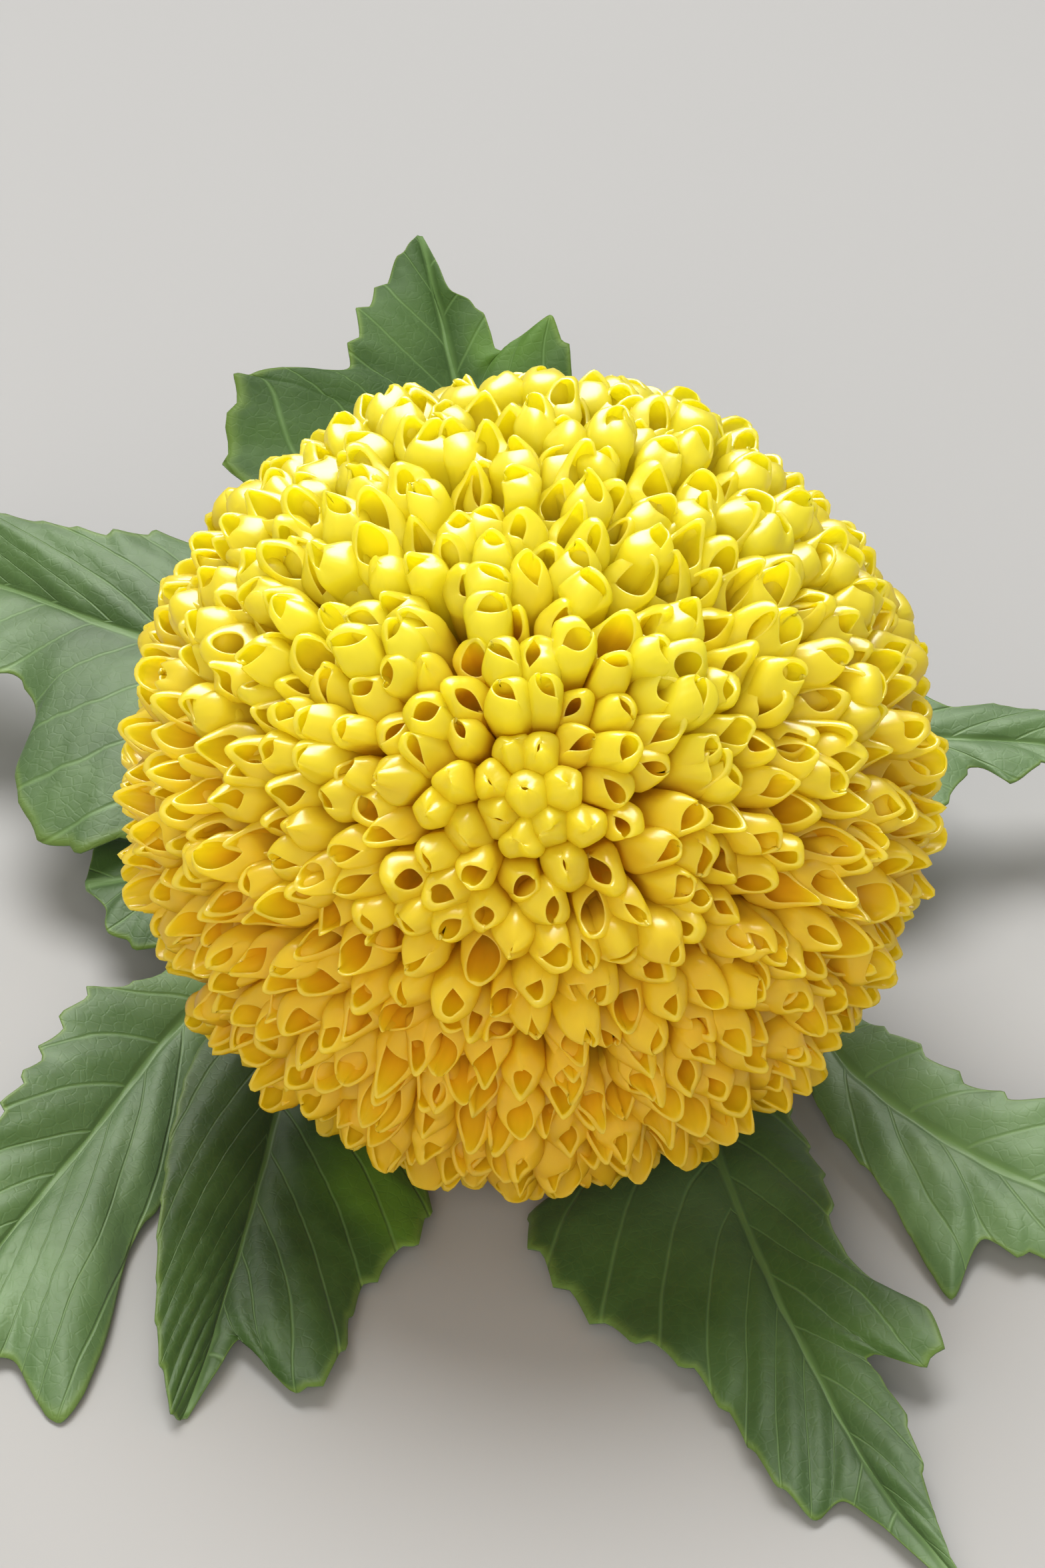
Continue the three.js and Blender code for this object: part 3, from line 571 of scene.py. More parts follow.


# ---------------------------------------------------------------- leaves, stem and bracts
# For each leaf: how many rows are stalk, its tone (how much pale painted sheen it gets), then rows of (midrib, left
# edge, right edge), mm, foot to tip.
LEAVES = {
    "leaf_top": (3, 0.05, [
        ((0.6, 60, 9), (-0.5, 59.7, 9), (1.7, 60.3, 9)),
        ((-0.6, 64.5, 12.6), (-1.7, 64.3, 12.6), (0.5, 64.7, 12.6)),
        ((-1.7, 67.9, 15.6), (-2.8, 67.5, 15.6), (-0.6, 68.3, 15.6)),
        ((-2.9, 70.3, 18.2), (-6.4, 69.4, 19.2), (0.0, 70.7, 19.2)),
        ((-4.2, 72.3, 20.4), (-18.3, 61.3, 25), (4.7, 72, 22.5)),
        ((-4.9, 74.6, 22), (-31.3, 67.4, 30), (7.1, 78.1, 27)),
        ((-5.5, 76.8, 23.4), (-31, 77.6, 33.5), (5.2, 84.1, 31)),
        ((-6, 78.6, 24.8), (-29.4, 79.5, 34.4), (3.6, 88.9, 33.6)),
        ((-6.6, 81, 26.4), (-25.6, 81.0, 34.4), (1.9, 90.7, 34.6)),
        ((-7.2, 83.9, 28), (-19.8, 82.6, 33.2), (-1.2, 89.3, 33.2)),
        ((-7.9, 86.6, 29.7), (-18.6, 85.4, 33.8), (-3.1, 88.1, 32.4)),
        ((-8.6, 89.4, 31.4), (-18.2, 89.3, 35), (-4.3, 90.8, 33.6)),
        ((-9.3, 92.9, 33), (-17.2, 93.3, 36), (-6.2, 94.2, 35)),
        ((-10.2, 96, 34.8), (-15.1, 98.7, 37), (-8.6, 95.7, 35.8)),
        ((-11.1, 99.6, 36.4), (-13.5, 101.4, 38), (-10, 99.7, 37)),
        ((-12, 103.7, 38), (-12.3, 103.8, 38.1), (-11.6, 103.6, 38.1)),
    ]),
    "leaf_left": (3, 0.38, [
        ((-2.1, 50.2, 8.4), (-2.1, 49, 8.4), (-2.1, 51.4, 8.4)),
        ((-9, 50, 11.2), (-9, 48.7, 11.2), (-9, 51.3, 11.2)),
        ((-16, 50, 13.5), (-15.9, 48.4, 13.5), (-16.1, 51.6, 13.5)),
        ((-21.6, 49.4, 14.5), (-20.8, 43.9, 14), (-22.3, 54.9, 15.5)),
        ((-27.2, 50.4, 15.5), (-26.7, 38.4, 13), (-28.9, 62.7, 18)),
        ((-31.8, 51.4, 16.2), (-32.5, 30.7, 11), (-35.6, 68.9, 20)),
        ((-35.3, 52.8, 16.6), (-39, 29.3, 10), (-40, 69.9, 20.5)),
        ((-38.3, 54.2, 16.8), (-43.9, 27.7, 9.5), (-43.8, 68.4, 20.6)),
        ((-41.2, 55.7, 16.9), (-49.2, 30.6, 9.6), (-47.9, 70.2, 20.6)),
        ((-44.1, 57.4, 16.9), (-52.3, 38.4, 10.6), (-52.4, 72.7, 20.4)),
        ((-47.3, 59.7, 16.8), (-50.7, 46.2, 13), (-57.3, 75.2, 20)),
        ((-51, 62.9, 16.4), (-53.7, 52.6, 14), (-62.5, 80, 19)),
        ((-55.4, 66.4, 15.8), (-58.9, 53.1, 13.4), (-66.5, 82.6, 18)),
        ((-60, 70.3, 15), (-64.1, 57.3, 12.6), (-68.2, 80.7, 16.6)),
        ((-65.4, 74.9, 13.8), (-68.4, 65.8, 12.6), (-71.9, 80.6, 15)),
        ((-76, 82.3, 11.4), (-75.9, 81.7, 11.2), (-76.4, 83.1, 11.5)),
    ]),
    "leaf_small": (3, 0.3, [
        ((-2.3, 40.2, 11), (-2.1, 39.2, 11), (-2.5, 41.2, 11)),
        ((-11, 38, 8.6), (-10.7, 36.9, 8.6), (-11.3, 39.1, 8.6)),
        ((-20, 35.5, 6.6), (-19.9, 34.2, 6.6), (-20.1, 36.8, 6.6)),
        ((-24.6, 36.5, 6.2), (-23.9, 32.2, 5.8), (-25.3, 40.2, 7)),
        ((-29.5, 33.5, 6.4), (-29.1, 24.4, 5.4), (-31.6, 41, 7.8)),
        ((-32.7, 31.5, 6.5), (-33.6, 18.3, 5.2), (-35.9, 39.4, 8)),
        ((-35.4, 29.8, 6.5), (-38.5, 18.5, 5.2), (-37.9, 34.8, 7.4)),
        ((-37.7, 28.1, 6.5), (-41.5, 19.7, 5.4), (-40.9, 33.5, 7.2)),
        ((-40.2, 26.7, 6.4), (-42.2, 22.8, 5.8), (-43.6, 30.9, 6.9)),
        ((-44.4, 25.9, 6.2), (-44.1, 25.3, 6.1), (-44.4, 26.6, 6.2)),
    ]),
    "leaf_right": (3, 0.55, [
        ((4.8, 47, 9), (5.1, 48.2, 9), (4.5, 45.8, 9)),
        ((11, 45.5, 11.6), (11.3, 46.8, 11.6), (10.7, 44.2, 11.6)),
        ((19, 44, 13), (19.3, 45.5, 13), (18.7, 42.5, 13)),
        ((22.5, 43, 13.4), (23.2, 47.8, 14.2), (22.3, 38.1, 13)),
        ((28, 41.7, 14), (30.2, 52.1, 16), (28.5, 29.7, 12.4)),
        ((32.4, 41, 14.2), (35.9, 52.5, 16.4), (33.8, 26.5, 12)),
        ((35.8, 40.8, 14.2), (39.5, 47.8, 15.6), (38.5, 28, 12)),
        ((38.7, 40.8, 14.1), (42.1, 44.8, 15), (42, 31.2, 12.4)),
        ((41.3, 40.7, 14), (45, 45.3, 14.8), (45.1, 36.9, 13)),
        ((44.3, 40.8, 13.8), (49.2, 46.2, 14.6), (49.1, 34.5, 12.8)),
        ((47.2, 41.2, 13.4), (52.3, 45.8, 14.2), (51.9, 38.1, 12.8)),
        ((51.6, 41.5, 12.8), (56.5, 46.3, 13.6), (55.8, 36.8, 12)),
        ((56.1, 41.9, 12), (60.9, 45, 12.6), (60.2, 38, 11.4)),
        ((67.7, 43.1, 9.8), (67.8, 43.7, 9.9), (67.5, 42.4, 9.7)),
    ]),
    "leaf_lower_left_front": (4, 0.1, [
        ((-2.9, 44.2, 8.8), (-2, 43.4, 8.8), (-3.8, 45, 8.8)),
        ((-9.5, 36, 5.4), (-8.4, 35.3, 5.4), (-10.6, 36.7, 5.4)),
        ((-15, 25, 2.7), (-13.7, 24.5, 2.7), (-16.3, 25.5, 2.7)),
        ((-19.2, 12, 1.7), (-18.5, 10.5, 1.7), (-19.9, 13.5, 1.7)),
        ((-21.4, 22.1, 1.6), (-19.1, 20.9, 1.2), (-24.5, 19.6, 2.2)),
        ((-22.5, 9.6, 1.7), (-17.5, 3.7, 1), (-31.1, 3.3, 4.8)),
        ((-23.2, 0.9, 1.9), (-10.9, -10.4, 1.2), (-33.2, -12.1, 6.6)),
        ((-24, -4.4, 2.1), (-9.1, -17.4, 1.5), (-33.3, -20.6, 7)),
        ((-24.5, -9.3, 2.2), (-10.3, -23.4, 1.4), (-33.4, -27.2, 6.8)),
        ((-25.1, -14.1, 2.2), (-13.8, -26.7, 1.1), (-33.2, -32.4, 6.2)),
        ((-25.7, -18.8, 2.2), (-16, -31.3, 1.5), (-33.1, -36.4, 5.2)),
        ((-26.4, -23.9, 2.1), (-16.7, -38.2, 1.9), (-32.7, -39.8, 4)),
        ((-27.2, -28.6, 2), (-19.8, -42.8, 1.3), (-32.2, -42.2, 2.8)),
        ((-27.9, -32.5, 1.8), (-22.9, -39.8, 1.4), (-31.7, -44.1, 2)),
        ((-28.5, -36.3, 1.6), (-25.6, -35.9, 1.7), (-31.3, -45.1, 1.4)),
        ((-29.4, -40.7, 1.2), (-27.7, -40.2, 1.5), (-31, -45.3, 1)),
        ((-30.4, -44.7, 0.3), (-30, -44.6, 0.3), (-30.7, -45, 0.3)),
    ]),
    "leaf_lower_left_back": (4, 0.8, [
        ((-3.1, 58, 6), (-2.2, 57.3, 6), (-4, 58.7, 6)),
        ((-14, 44, 4.2), (-12.9, 43.3, 4.2), (-15.1, 44.7, 4.2)),
        ((-24, 28, 3.2), (-22.8, 27.3, 3.2), (-25.2, 28.7, 3.2)),
        ((-29.5, 15, 2.9), (-28, 14.4, 2.9), (-31, 15.6, 2.9)),
        ((-30.2, 13.8, 2.8), (-28.7, 10.4, 1.8), (-32.5, 17.5, 3.8)),
        ((-33.5, 8.7, 2.7), (-31.2, 4, 0.7), (-38.4, 10.6, 5.8)),
        ((-36, 3.7, 2.6), (-32.7, -5.8, 0.6), (-43, 7.5, 6.6)),
        ((-37.9, -0.9, 2.5), (-34.1, -15.4, 0.6), (-45.6, 1.4, 6.8)),
        ((-39.7, -5.2, 2.5), (-36.7, -23.2, 0.7), (-47.3, -5.3, 6.6)),
        ((-41.4, -9.4, 2.5), (-38, -35.9, 0.8), (-49.6, -11.6, 6.2)),
        ((-43, -12.9, 2.5), (-40.2, -44.2, 0.3), (-53.3, -15, 5.6)),
        ((-44.5, -16.5, 2.6), (-42.8, -43.4, 0.3), (-56.2, -20.5, 5)),
        ((-46.4, -20.5, 2.6), (-45.8, -38, 1), (-55.7, -25.3, 4.4)),
        ((-48.4, -24.7, 2.5), (-48.7, -37.9, 1.2), (-55.1, -29.1, 4)),
        ((-50.5, -28.9, 2.3), (-50.9, -40.7, 1.2), (-56.9, -32.9, 3.2)),
        ((-53.4, -33.9, 2), (-53.9, -42.1, 1.2), (-58.4, -36.9, 2.4)),
        ((-58.5, -41.6, 1.2), (-58.1, -41.9, 1.1), (-58.8, -41.2, 1.2)),
    ]),
    "leaf_lower_right_front": (5, 0.3, [
        ((5.5, 42, 9.7), (6.6, 42.5, 9.7), (4.4, 41.5, 9.7)),
        ((9.6, 33, 5.6), (10.8, 33.5, 5.6), (8.4, 32.5, 5.6)),
        ((13, 22, 2.8), (14.3, 22.4, 2.8), (11.7, 21.6, 2.8)),
        ((16, 12, 1.6), (17.4, 12.3, 1.6), (14.6, 11.7, 1.6)),
        ((17.2, 5, 1.3), (18.7, 5.1, 1.3), (15.7, 4.9, 1.3)),
        ((16.9, 2.4, 1.3), (20.1, 3.8, 2), (14.3, 0.8, 1.1)),
        ((16.9, -2.7, 1.4), (23.5, -3.1, 3.2), (9.8, -10.2, 0.9)),
        ((17.4, -7.7, 1.6), (26.2, -11.8, 4.2), (0.8, -17.1, 1)),
        ((18.2, -12.7, 1.8), (27.4, -19.5, 4.8), (0.9, -24.5, 1.3)),
        ((19.3, -18, 2), (27.6, -25.6, 5), (5.1, -32.1, 1.7)),
        ((20.3, -23.1, 2.2), (30.4, -31.5, 5), (10.2, -37.5, 1.9)),
        ((21.3, -27.5, 2.4), (35.6, -36.3, 5), (14.3, -41, 2)),
        ((22.4, -32, 2.4), (35.4, -42.3, 4.2), (17.4, -45.5, 2)),
        ((24.1, -37.5, 2.4), (30.1, -40.2, 3.6), (19.5, -50.6, 1.9)),
        ((25.6, -42.6, 2.4), (32, -46.2, 3.4), (21.9, -55.4, 1.4)),
        ((27.1, -47.2, 2.3), (33.3, -52.5, 3.2), (24.3, -57.1, 0.3)),
        ((28.9, -51.9, 2.1), (33.9, -57.4, 2.8), (26.8, -56, 1.2)),
        ((31.4, -57.2, 1.8), (34.8, -60.9, 2.2), (29.6, -58.7, 1.5)),
        ((34, -61.6, 1.4), (35.5, -63.4, 1.6), (32.5, -62.5, 1.3)),
        ((37.2, -66.9, 0.3), (37.5, -66.7, 0.3), (36.8, -67.2, 0.3)),
    ]),
    "leaf_lower_right_back": (4, 0.8, [
        ((5.3, 57, 5.8), (6.3, 57.7, 5.8), (4.3, 56.3, 5.8)),
        ((12.6, 46, 4.6), (13.7, 46.7, 4.6), (11.5, 45.3, 4.6)),
        ((20.5, 34, 3.4), (21.7, 34.7, 3.4), (19.3, 33.3, 3.4)),
        ((26.5, 22, 3), (28, 22.4, 3), (25, 21.6, 3)),
        ((26.8, 11.4, 3), (29.6, 13.3, 3.6), (25, 7.6, 2.6)),
        ((30, 1.5, 3.4), (32.7, 4.4, 5.5), (27.5, -3.9, 2.4)),
        ((32.8, -3.6, 3.8), (35.6, 0.7, 6.3), (30.6, -11.4, 2.2)),
        ((35.6, -7.5, 4), (38.4, -2.9, 6.8), (33.5, -18, 2)),
        ((38, -10.5, 4.2), (41.5, -5.8, 7), (36, -24.7, 1.2)),
        ((39.9, -12.4, 4.2), (44.4, -7.8, 7), (38.3, -29, 0.3)),
        ((42.1, -14.6, 4.2), (47.4, -8.6, 6.8), (40.9, -23.6, 1.8)),
        ((44.6, -16.3, 4), (50.8, -9, 6.2), (44, -24.2, 2.4)),
        ((47.5, -18.2, 3.8), (54.3, -10.3, 5.4), (48.4, -25.8, 2.2)),
        ((50.8, -20.2, 3.4), (56.7, -13.7, 4.5), (52.1, -27.1, 2)),
        ((54.2, -22.6, 2.8), (58, -18.7, 3.4), (55.3, -27.2, 1.8)),
        ((58.6, -24.8, 1.6), (59, -24.4, 1.6), (58.3, -25.2, 1.5)),
    ]),
}
ROUTE = [(0.0, 9.0), (0.0, 16.0), (0.0, 23.0), (0.0, 30.0)]  # along the axis, behind the bloom's centre
ROUTE_ON = [(1.25, 35, 13.6), (1.35, 45, 9.15), (1.2, 55, 6.0), (0.8, 65, 4.05), (0, 78, 3.15), (-1.4, 95, 3.1),
            (-2.8, 111, 3.1), (-4.2, 126, 3.0)]
VEIN_PITCH = 7.0
# painted light: per leaf, a lobe painted a brighter yellow-green where the light shines through it
PAINTED_LIT_LOBES = {"leaf_top": (1.0, 27.0, 46.0, 0.25), "leaf_lower_left_front": (0.0, 66.0, 88.0, 0.45)}  # side of the midrib, from, to, how bright


def spline(points, t):
    """Catmull-Rom curve through points (n, 3) at the row positions t."""
    p = np.asarray(points, dtype=float)
    n = len(p)
    ext = np.vstack([2 * p[0] - p[1], p, 2 * p[-1] - p[-2]])
    i = np.clip(t.astype(int), 0, n - 2)
    f = (t - i)[:, None]
    a, b, c, d = ext[i], ext[i + 1], ext[i + 2], ext[i + 3]
    return 0.5 * (2 * b + (c - a) * f + (2 * a - 5 * b + 4 * c - d) * f ** 2 + (3 * b - a - 3 * c + d) * f ** 3)


def smooth(x):
    x = np.clip(x, 0, 1)
    return x * x * (3 - 2 * x)


def unit(v):
    return v / (np.linalg.norm(v, axis=-1, keepdims=True) + 1e-9)


def stem_centre(y):
    pts = np.array(ROUTE_ON, dtype=float)
    return np.array([np.interp(y, pts[:, 1], pts[:, 0]), y, np.interp(y, pts[:, 1], pts[:, 2])])


def loft_faces(rows, around, cap=True):
    faces = grid_faces(1, rows, around).tolist()
    if cap:
        last = (rows - 1) * around
        for k in range(around // 2 - 1):
            a, b, c, d = k, k + 1, around - 2 - k, around - 1 - k
            faces.append([a, d, c, b])
            faces.append([last + a, last + b, last + c, last + d])
    return faces


def add_green(name, verts, faces, material, attrs, node=None):
    ob = mesh_piece(name, verts, faces, material, attrs)
    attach(ob, "root")
    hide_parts(node or name)
    return ob


def build_leaf(name, stalk, tone, table, seed, material):
    rng = np.random.default_rng(seed)
    rows = np.array(table, dtype=float)  # (n, midrib/left/right, xyz)
    foot = rows[0].copy()
    pull = stem_centre(foot[0, 1]) - foot[0]
    mid = foot[0] + 0.86 * pull
    first = mid + (foot - foot[0]) * 1.5
    rows[0] = rows[0, 0] + (rows[0] - rows[0, 0]) * 1.15
    rows = np.concatenate([first[None], rows])
    stalk += 1
    n = len(rows)
    t = np.concatenate([np.arange(0, stalk, 0.25), np.arange(stalk, n - 2, 0.125), np.linspace(n - 2, n - 1, 9) - 1e-6])
    M, L, R_ = (spline(rows[:, k], t) for k in range(3))
    run = np.concatenate([[0], np.cumsum(np.linalg.norm(np.diff(M, axis=0), axis=1))])
    blade = smooth((t - (stalk - 1)) / 3.0)
    ending = smooth((n - 1 - t) / 1.5)
    w = np.array([1.0, 0.97, 0.9, 0.79, 0.66, 0.52, 0.38, 0.25, 0.14, 0.06, 0.0])
    grid, off, edge, side = [], [], [], []
    for k, E in enumerate((L, R_)):
        arc = np.concatenate([[0], np.cumsum(np.linalg.norm(np.diff(E, axis=0), axis=1))])
        W = np.linalg.norm(E - M, axis=1)
        outward = (E - M) / (W[:, None] + 1e-9)
        pitch = rng.uniform(4.2, 5.4)
        f = np.mod(arc / pitch + rng.random(), 1.0)
        tooth = np.where(f < 0.8, (f / 0.8) ** 1.6, (1 - f) / 0.2)
        slow = np.sin(arc / 6.1 + rng.uniform(0, 6.3)) * 0.35
        heading = unit(np.gradient(E, axis=0))
        broadside = np.linalg.norm(np.cross(heading, outward), axis=1) ** 2
        amount = blade * ending * np.clip((W - 2.0) / 6.0, 0, 1) * broadside
        E = E + outward * ((tooth * 1.25 - 0.45 + slow) * amount)[:, None]
        W = np.linalg.norm(E - M, axis=1)
        ww = w if k == 0 else w[::-1][1:]
        P = M[:, None, :] + ww[None, :, None] * (E - M)[:, None, :]
        c = (run[:, None] - 0.84 * ww[None, :] * W[:, None]) / VEIN_PITCH + 0.45 * k
        z = 4 * 0.06 * W[:, None] * (ww * (1 - ww))[None, :]
        z = z - 0.27 * np.cos(2 * np.pi * c) * (np.sin(np.pi * np.clip(ww, 0, 1)) ** 0.8)[None, :] * np.clip(W / 12, 0, 1)[:, None]
        z = z + 0.75 * (ww ** 3)[None, :] * (np.sin(arc / 3.1 + rng.uniform(0, 6.3)) * np.clip(W / 10, 0, 1) * broadside)[:, None]
        z = z - 0.30 * np.exp(-((ww[None, :] * W[:, None]) / 0.9) ** 2)
        P[..., 2] += z * (blade * ending)[:, None]
        grid.append(P)
        off.append(ww[None, :] * W[:, None])
        edge.append(np.broadcast_to(ww[None, :], P.shape[:2]))
        side.append(np.full(P.shape[:2], float(k)))
    P = np.concatenate(grid, 1)
    off, edge, side = (np.concatenate(v, 1) for v in (off, edge, side))
    across = np.gradient(P, axis=1)
    ahead = np.gradient(P, axis=0)
    normal = unit(np.cross(across, ahead))
    normal[normal[:, 10, 2] < 0] *= -1
    half = 0.22 * (1 - 0.5 * edge ** 4)
    round_ = 0.8 * np.sqrt(np.clip(1 - edge ** 2, 0, 1)) + 0.03
    b = blade[:, None]
    ridge = (0.62 - 0.35 * t / n)[:, None] * np.exp(-(off / 0.75) ** 2)
    top = P + normal * ((1 - b) * round_ + b * half)[..., None]
    low = P - normal * ((1 - b) * round_ + b * (half + ridge))[..., None]
    low[..., 2] = np.maximum(low[..., 2], 0.02)
    top[..., 2] = np.maximum(top[..., 2], low[..., 2] + 0.15)
    ring = np.concatenate([top, low[:, ::-1]], 1)

    def both(v):
        return np.concatenate([v, v[:, ::-1]], 1).reshape(-1)

    under = np.concatenate([np.zeros_like(off), np.ones_like(off)], 1).reshape(-1)
    # painted light: the lobe listed for this leaf is painted a brighter green
    painted_lit_lobe = np.zeros_like(off)
    if name in PAINTED_LIT_LOBES:
        which, first_run, last_run, bright = PAINTED_LIT_LOBES[name]
        place = smooth((run - first_run) / 5) * smooth((last_run - run) / 6)
        painted_lit_lobe = bright * place[:, None] * smooth((edge - 0.25) / 0.4) * (side == which)
    # tone, one value per leaf, sets how much painted sheen it gets
    attrs = dict(run=both(np.broadcast_to(run[:, None], off.shape)), off=both(off), edge=both(edge), side=both(side),
                 under=under, stalk=both(np.broadcast_to(1 - b, off.shape)), tone=np.full(under.shape, tone), painted_lit_lobe=both(painted_lit_lobe))
    add_green(name.replace("leaf", "lobed_leaf"), ring.reshape(-1, 3), loft_faces(len(t), ring.shape[1]), material, attrs, name)


def smoothstep(nt, x, low, high):
    n = nt.nodes.new("ShaderNodeMapRange")
    n.interpolation_type = "SMOOTHSTEP"
    n.inputs["From Min"].default_value = low
    n.inputs["From Max"].default_value = high
    nt.links.new(x, n.inputs["Value"])
    return n.outputs["Result"]


def leaf_material(name, shine):
    mat, nt, bsdf = new_material(name)
    run, off, edge = attribute(nt, "run"), attribute(nt, "off"), attribute(nt, "edge")
    side, under, stalk, tone = attribute(nt, "side"), attribute(nt, "under"), attribute(nt, "stalk"), attribute(nt, "tone")
    wander = math_node(nt, "MULTIPLY", math_node(nt, "SUBTRACT", noise(nt, 60.0, 2.0), 0.5), 2.4)
    along = math_node(nt, "ADD", math_node(nt, "SUBTRACT", run, math_node(nt, "MULTIPLY", off, 0.84)), wander)
    c = math_node(nt, "ADD", math_node(nt, "DIVIDE", along, 7.0), math_node(nt, "MULTIPLY", side, 0.45))
    away = math_node(nt, "ABSOLUTE", math_node(nt, "SUBTRACT", math_node(nt, "FRACT", c), 0.5))  # 0.5 on a side vein
    vein = smoothstep(nt, away, 0.435, 0.495)
    rib = math_node(nt, "SUBTRACT", 1.0, smoothstep(nt, off, 0.35, 1.0))
    net = nt.nodes.new("ShaderNodeTexVoronoi")
    net.feature = "DISTANCE_TO_EDGE"
    net.inputs["Scale"].default_value = 900.0
    nt.links.new(nt.nodes.new("ShaderNodeTexCoord").outputs["Object"], net.inputs["Vector"])
    mesh = math_node(nt, "SUBTRACT", 1.0, smoothstep(nt, net.outputs["Distance"], 0.0, 0.12))
    lines = math_node(nt, "MAXIMUM", rib, math_node(nt, "MAXIMUM", math_node(nt, "MULTIPLY", vein, 0.8), math_node(nt, "MULTIPLY", mesh, 0.10)))
    # dark green mixed with a pale grey-green: partly a painted sheen, set per leaf by tone, and partly random patches
    # of tone from the coarse noise
    dark = ramp(nt, noise(nt, 90.0, 4.0), [(0.25, (0.026, 0.058, 0.012)), (0.75, (0.054, 0.108, 0.024))])
    pale = ramp(nt, noise(nt, 110.0, 4.0), [(0.25, (0.084, 0.158, 0.052)), (0.75, (0.136, 0.228, 0.092))])
    patchy = math_node(nt, "MULTIPLY", math_node(nt, "SUBTRACT", noise(nt, 26.0, 1.0), 0.5), 2.6 * shine)
    top = mix_color(nt, math_node(nt, "ADD", tone, patchy, clamp=True), dark, pale)
    # painted light: brighter yellow-green on the lobe the light shines through
    top = mix_color(nt, math_node(nt, "MULTIPLY", attribute(nt, "painted_lit_lobe"), 0.85), top, (0.200, 0.420, 0.028))
    top = mix_color(nt, math_node(nt, "MULTIPLY", lines, 0.48), top, (0.17, 0.29, 0.095))
    rim = smoothstep(nt, edge, 0.93, 1.0)
    top = mix_color(nt, math_node(nt, "MULTIPLY", rim, 0.45), top, (0.20, 0.30, 0.06))
    back = mix_color(nt, math_node(nt, "MULTIPLY", lines, 0.7), (0.165, 0.255, 0.130), (0.30, 0.42, 0.19))
    col = mix_color(nt, under, top, back)
    col = mix_color(nt, stalk, col, (0.16, 0.27, 0.075))
    nt.links.new(col, bsdf.inputs["Base Color"])
    rough = math_node(nt, "ADD", math_node(nt, "MULTIPLY", noise(nt, 700.0, 3.0), 0.18), 0.46)
    nt.links.new(math_node(nt, "ADD", rough, math_node(nt, "MULTIPLY", under, 0.2)), bsdf.inputs["Roughness"])
    bsdf.inputs["Specular IOR Level"].default_value = 0.15 * shine
    bsdf.inputs["Coat Weight"].default_value = 0.05 * shine
    bsdf.inputs["Coat Roughness"].default_value = 0.46
    bsdf.inputs["Sheen Weight"].default_value = 0.07 * shine
    bsdf.inputs["Sheen Roughness"].default_value = 0.5
    bsdf.inputs["Sheen Tint"].default_value = (0.9, 1.0, 0.92, 1.0)
    swell = math_node(nt, "COSINE", math_node(nt, "MULTIPLY", c, 6.2832))
    raised = math_node(nt, "ADD", math_node(nt, "MULTIPLY", lines, -1.0), math_node(nt, "MULTIPLY", swell, -0.10))
    flip = math_node(nt, "SUBTRACT", 1.0, math_node(nt, "MULTIPLY", under, 2.0))
    height = math_node(nt, "ADD", math_node(nt, "MULTIPLY", raised, flip), math_node(nt, "MULTIPLY", noise(nt, 900.0, 3.0), 0.35))
    height = math_node(nt, "ADD", height, math_node(nt, "MULTIPLY", noise(nt, 150.0, 2.0), 2.2))
    bump(nt, height, bsdf, 0.55, 0.0003)
    through = nt.nodes.new("ShaderNodeBsdfTranslucent")
    nt.links.new(mix_color(nt, 0.55, col, (0.36, 0.62, 0.05)), through.inputs["Color"])
    both = nt.nodes.new("ShaderNodeMixShader")
    both.inputs["Fac"].default_value = 0.22
    nt.links.new(bsdf.outputs[0], both.inputs[1])
    nt.links.new(through.outputs[0], both.inputs[2])
    out = [n for n in nt.nodes if n.type == "OUTPUT_MATERIAL"][0]
    nt.links.new(both.outputs[0], out.inputs["Surface"])
    return mat


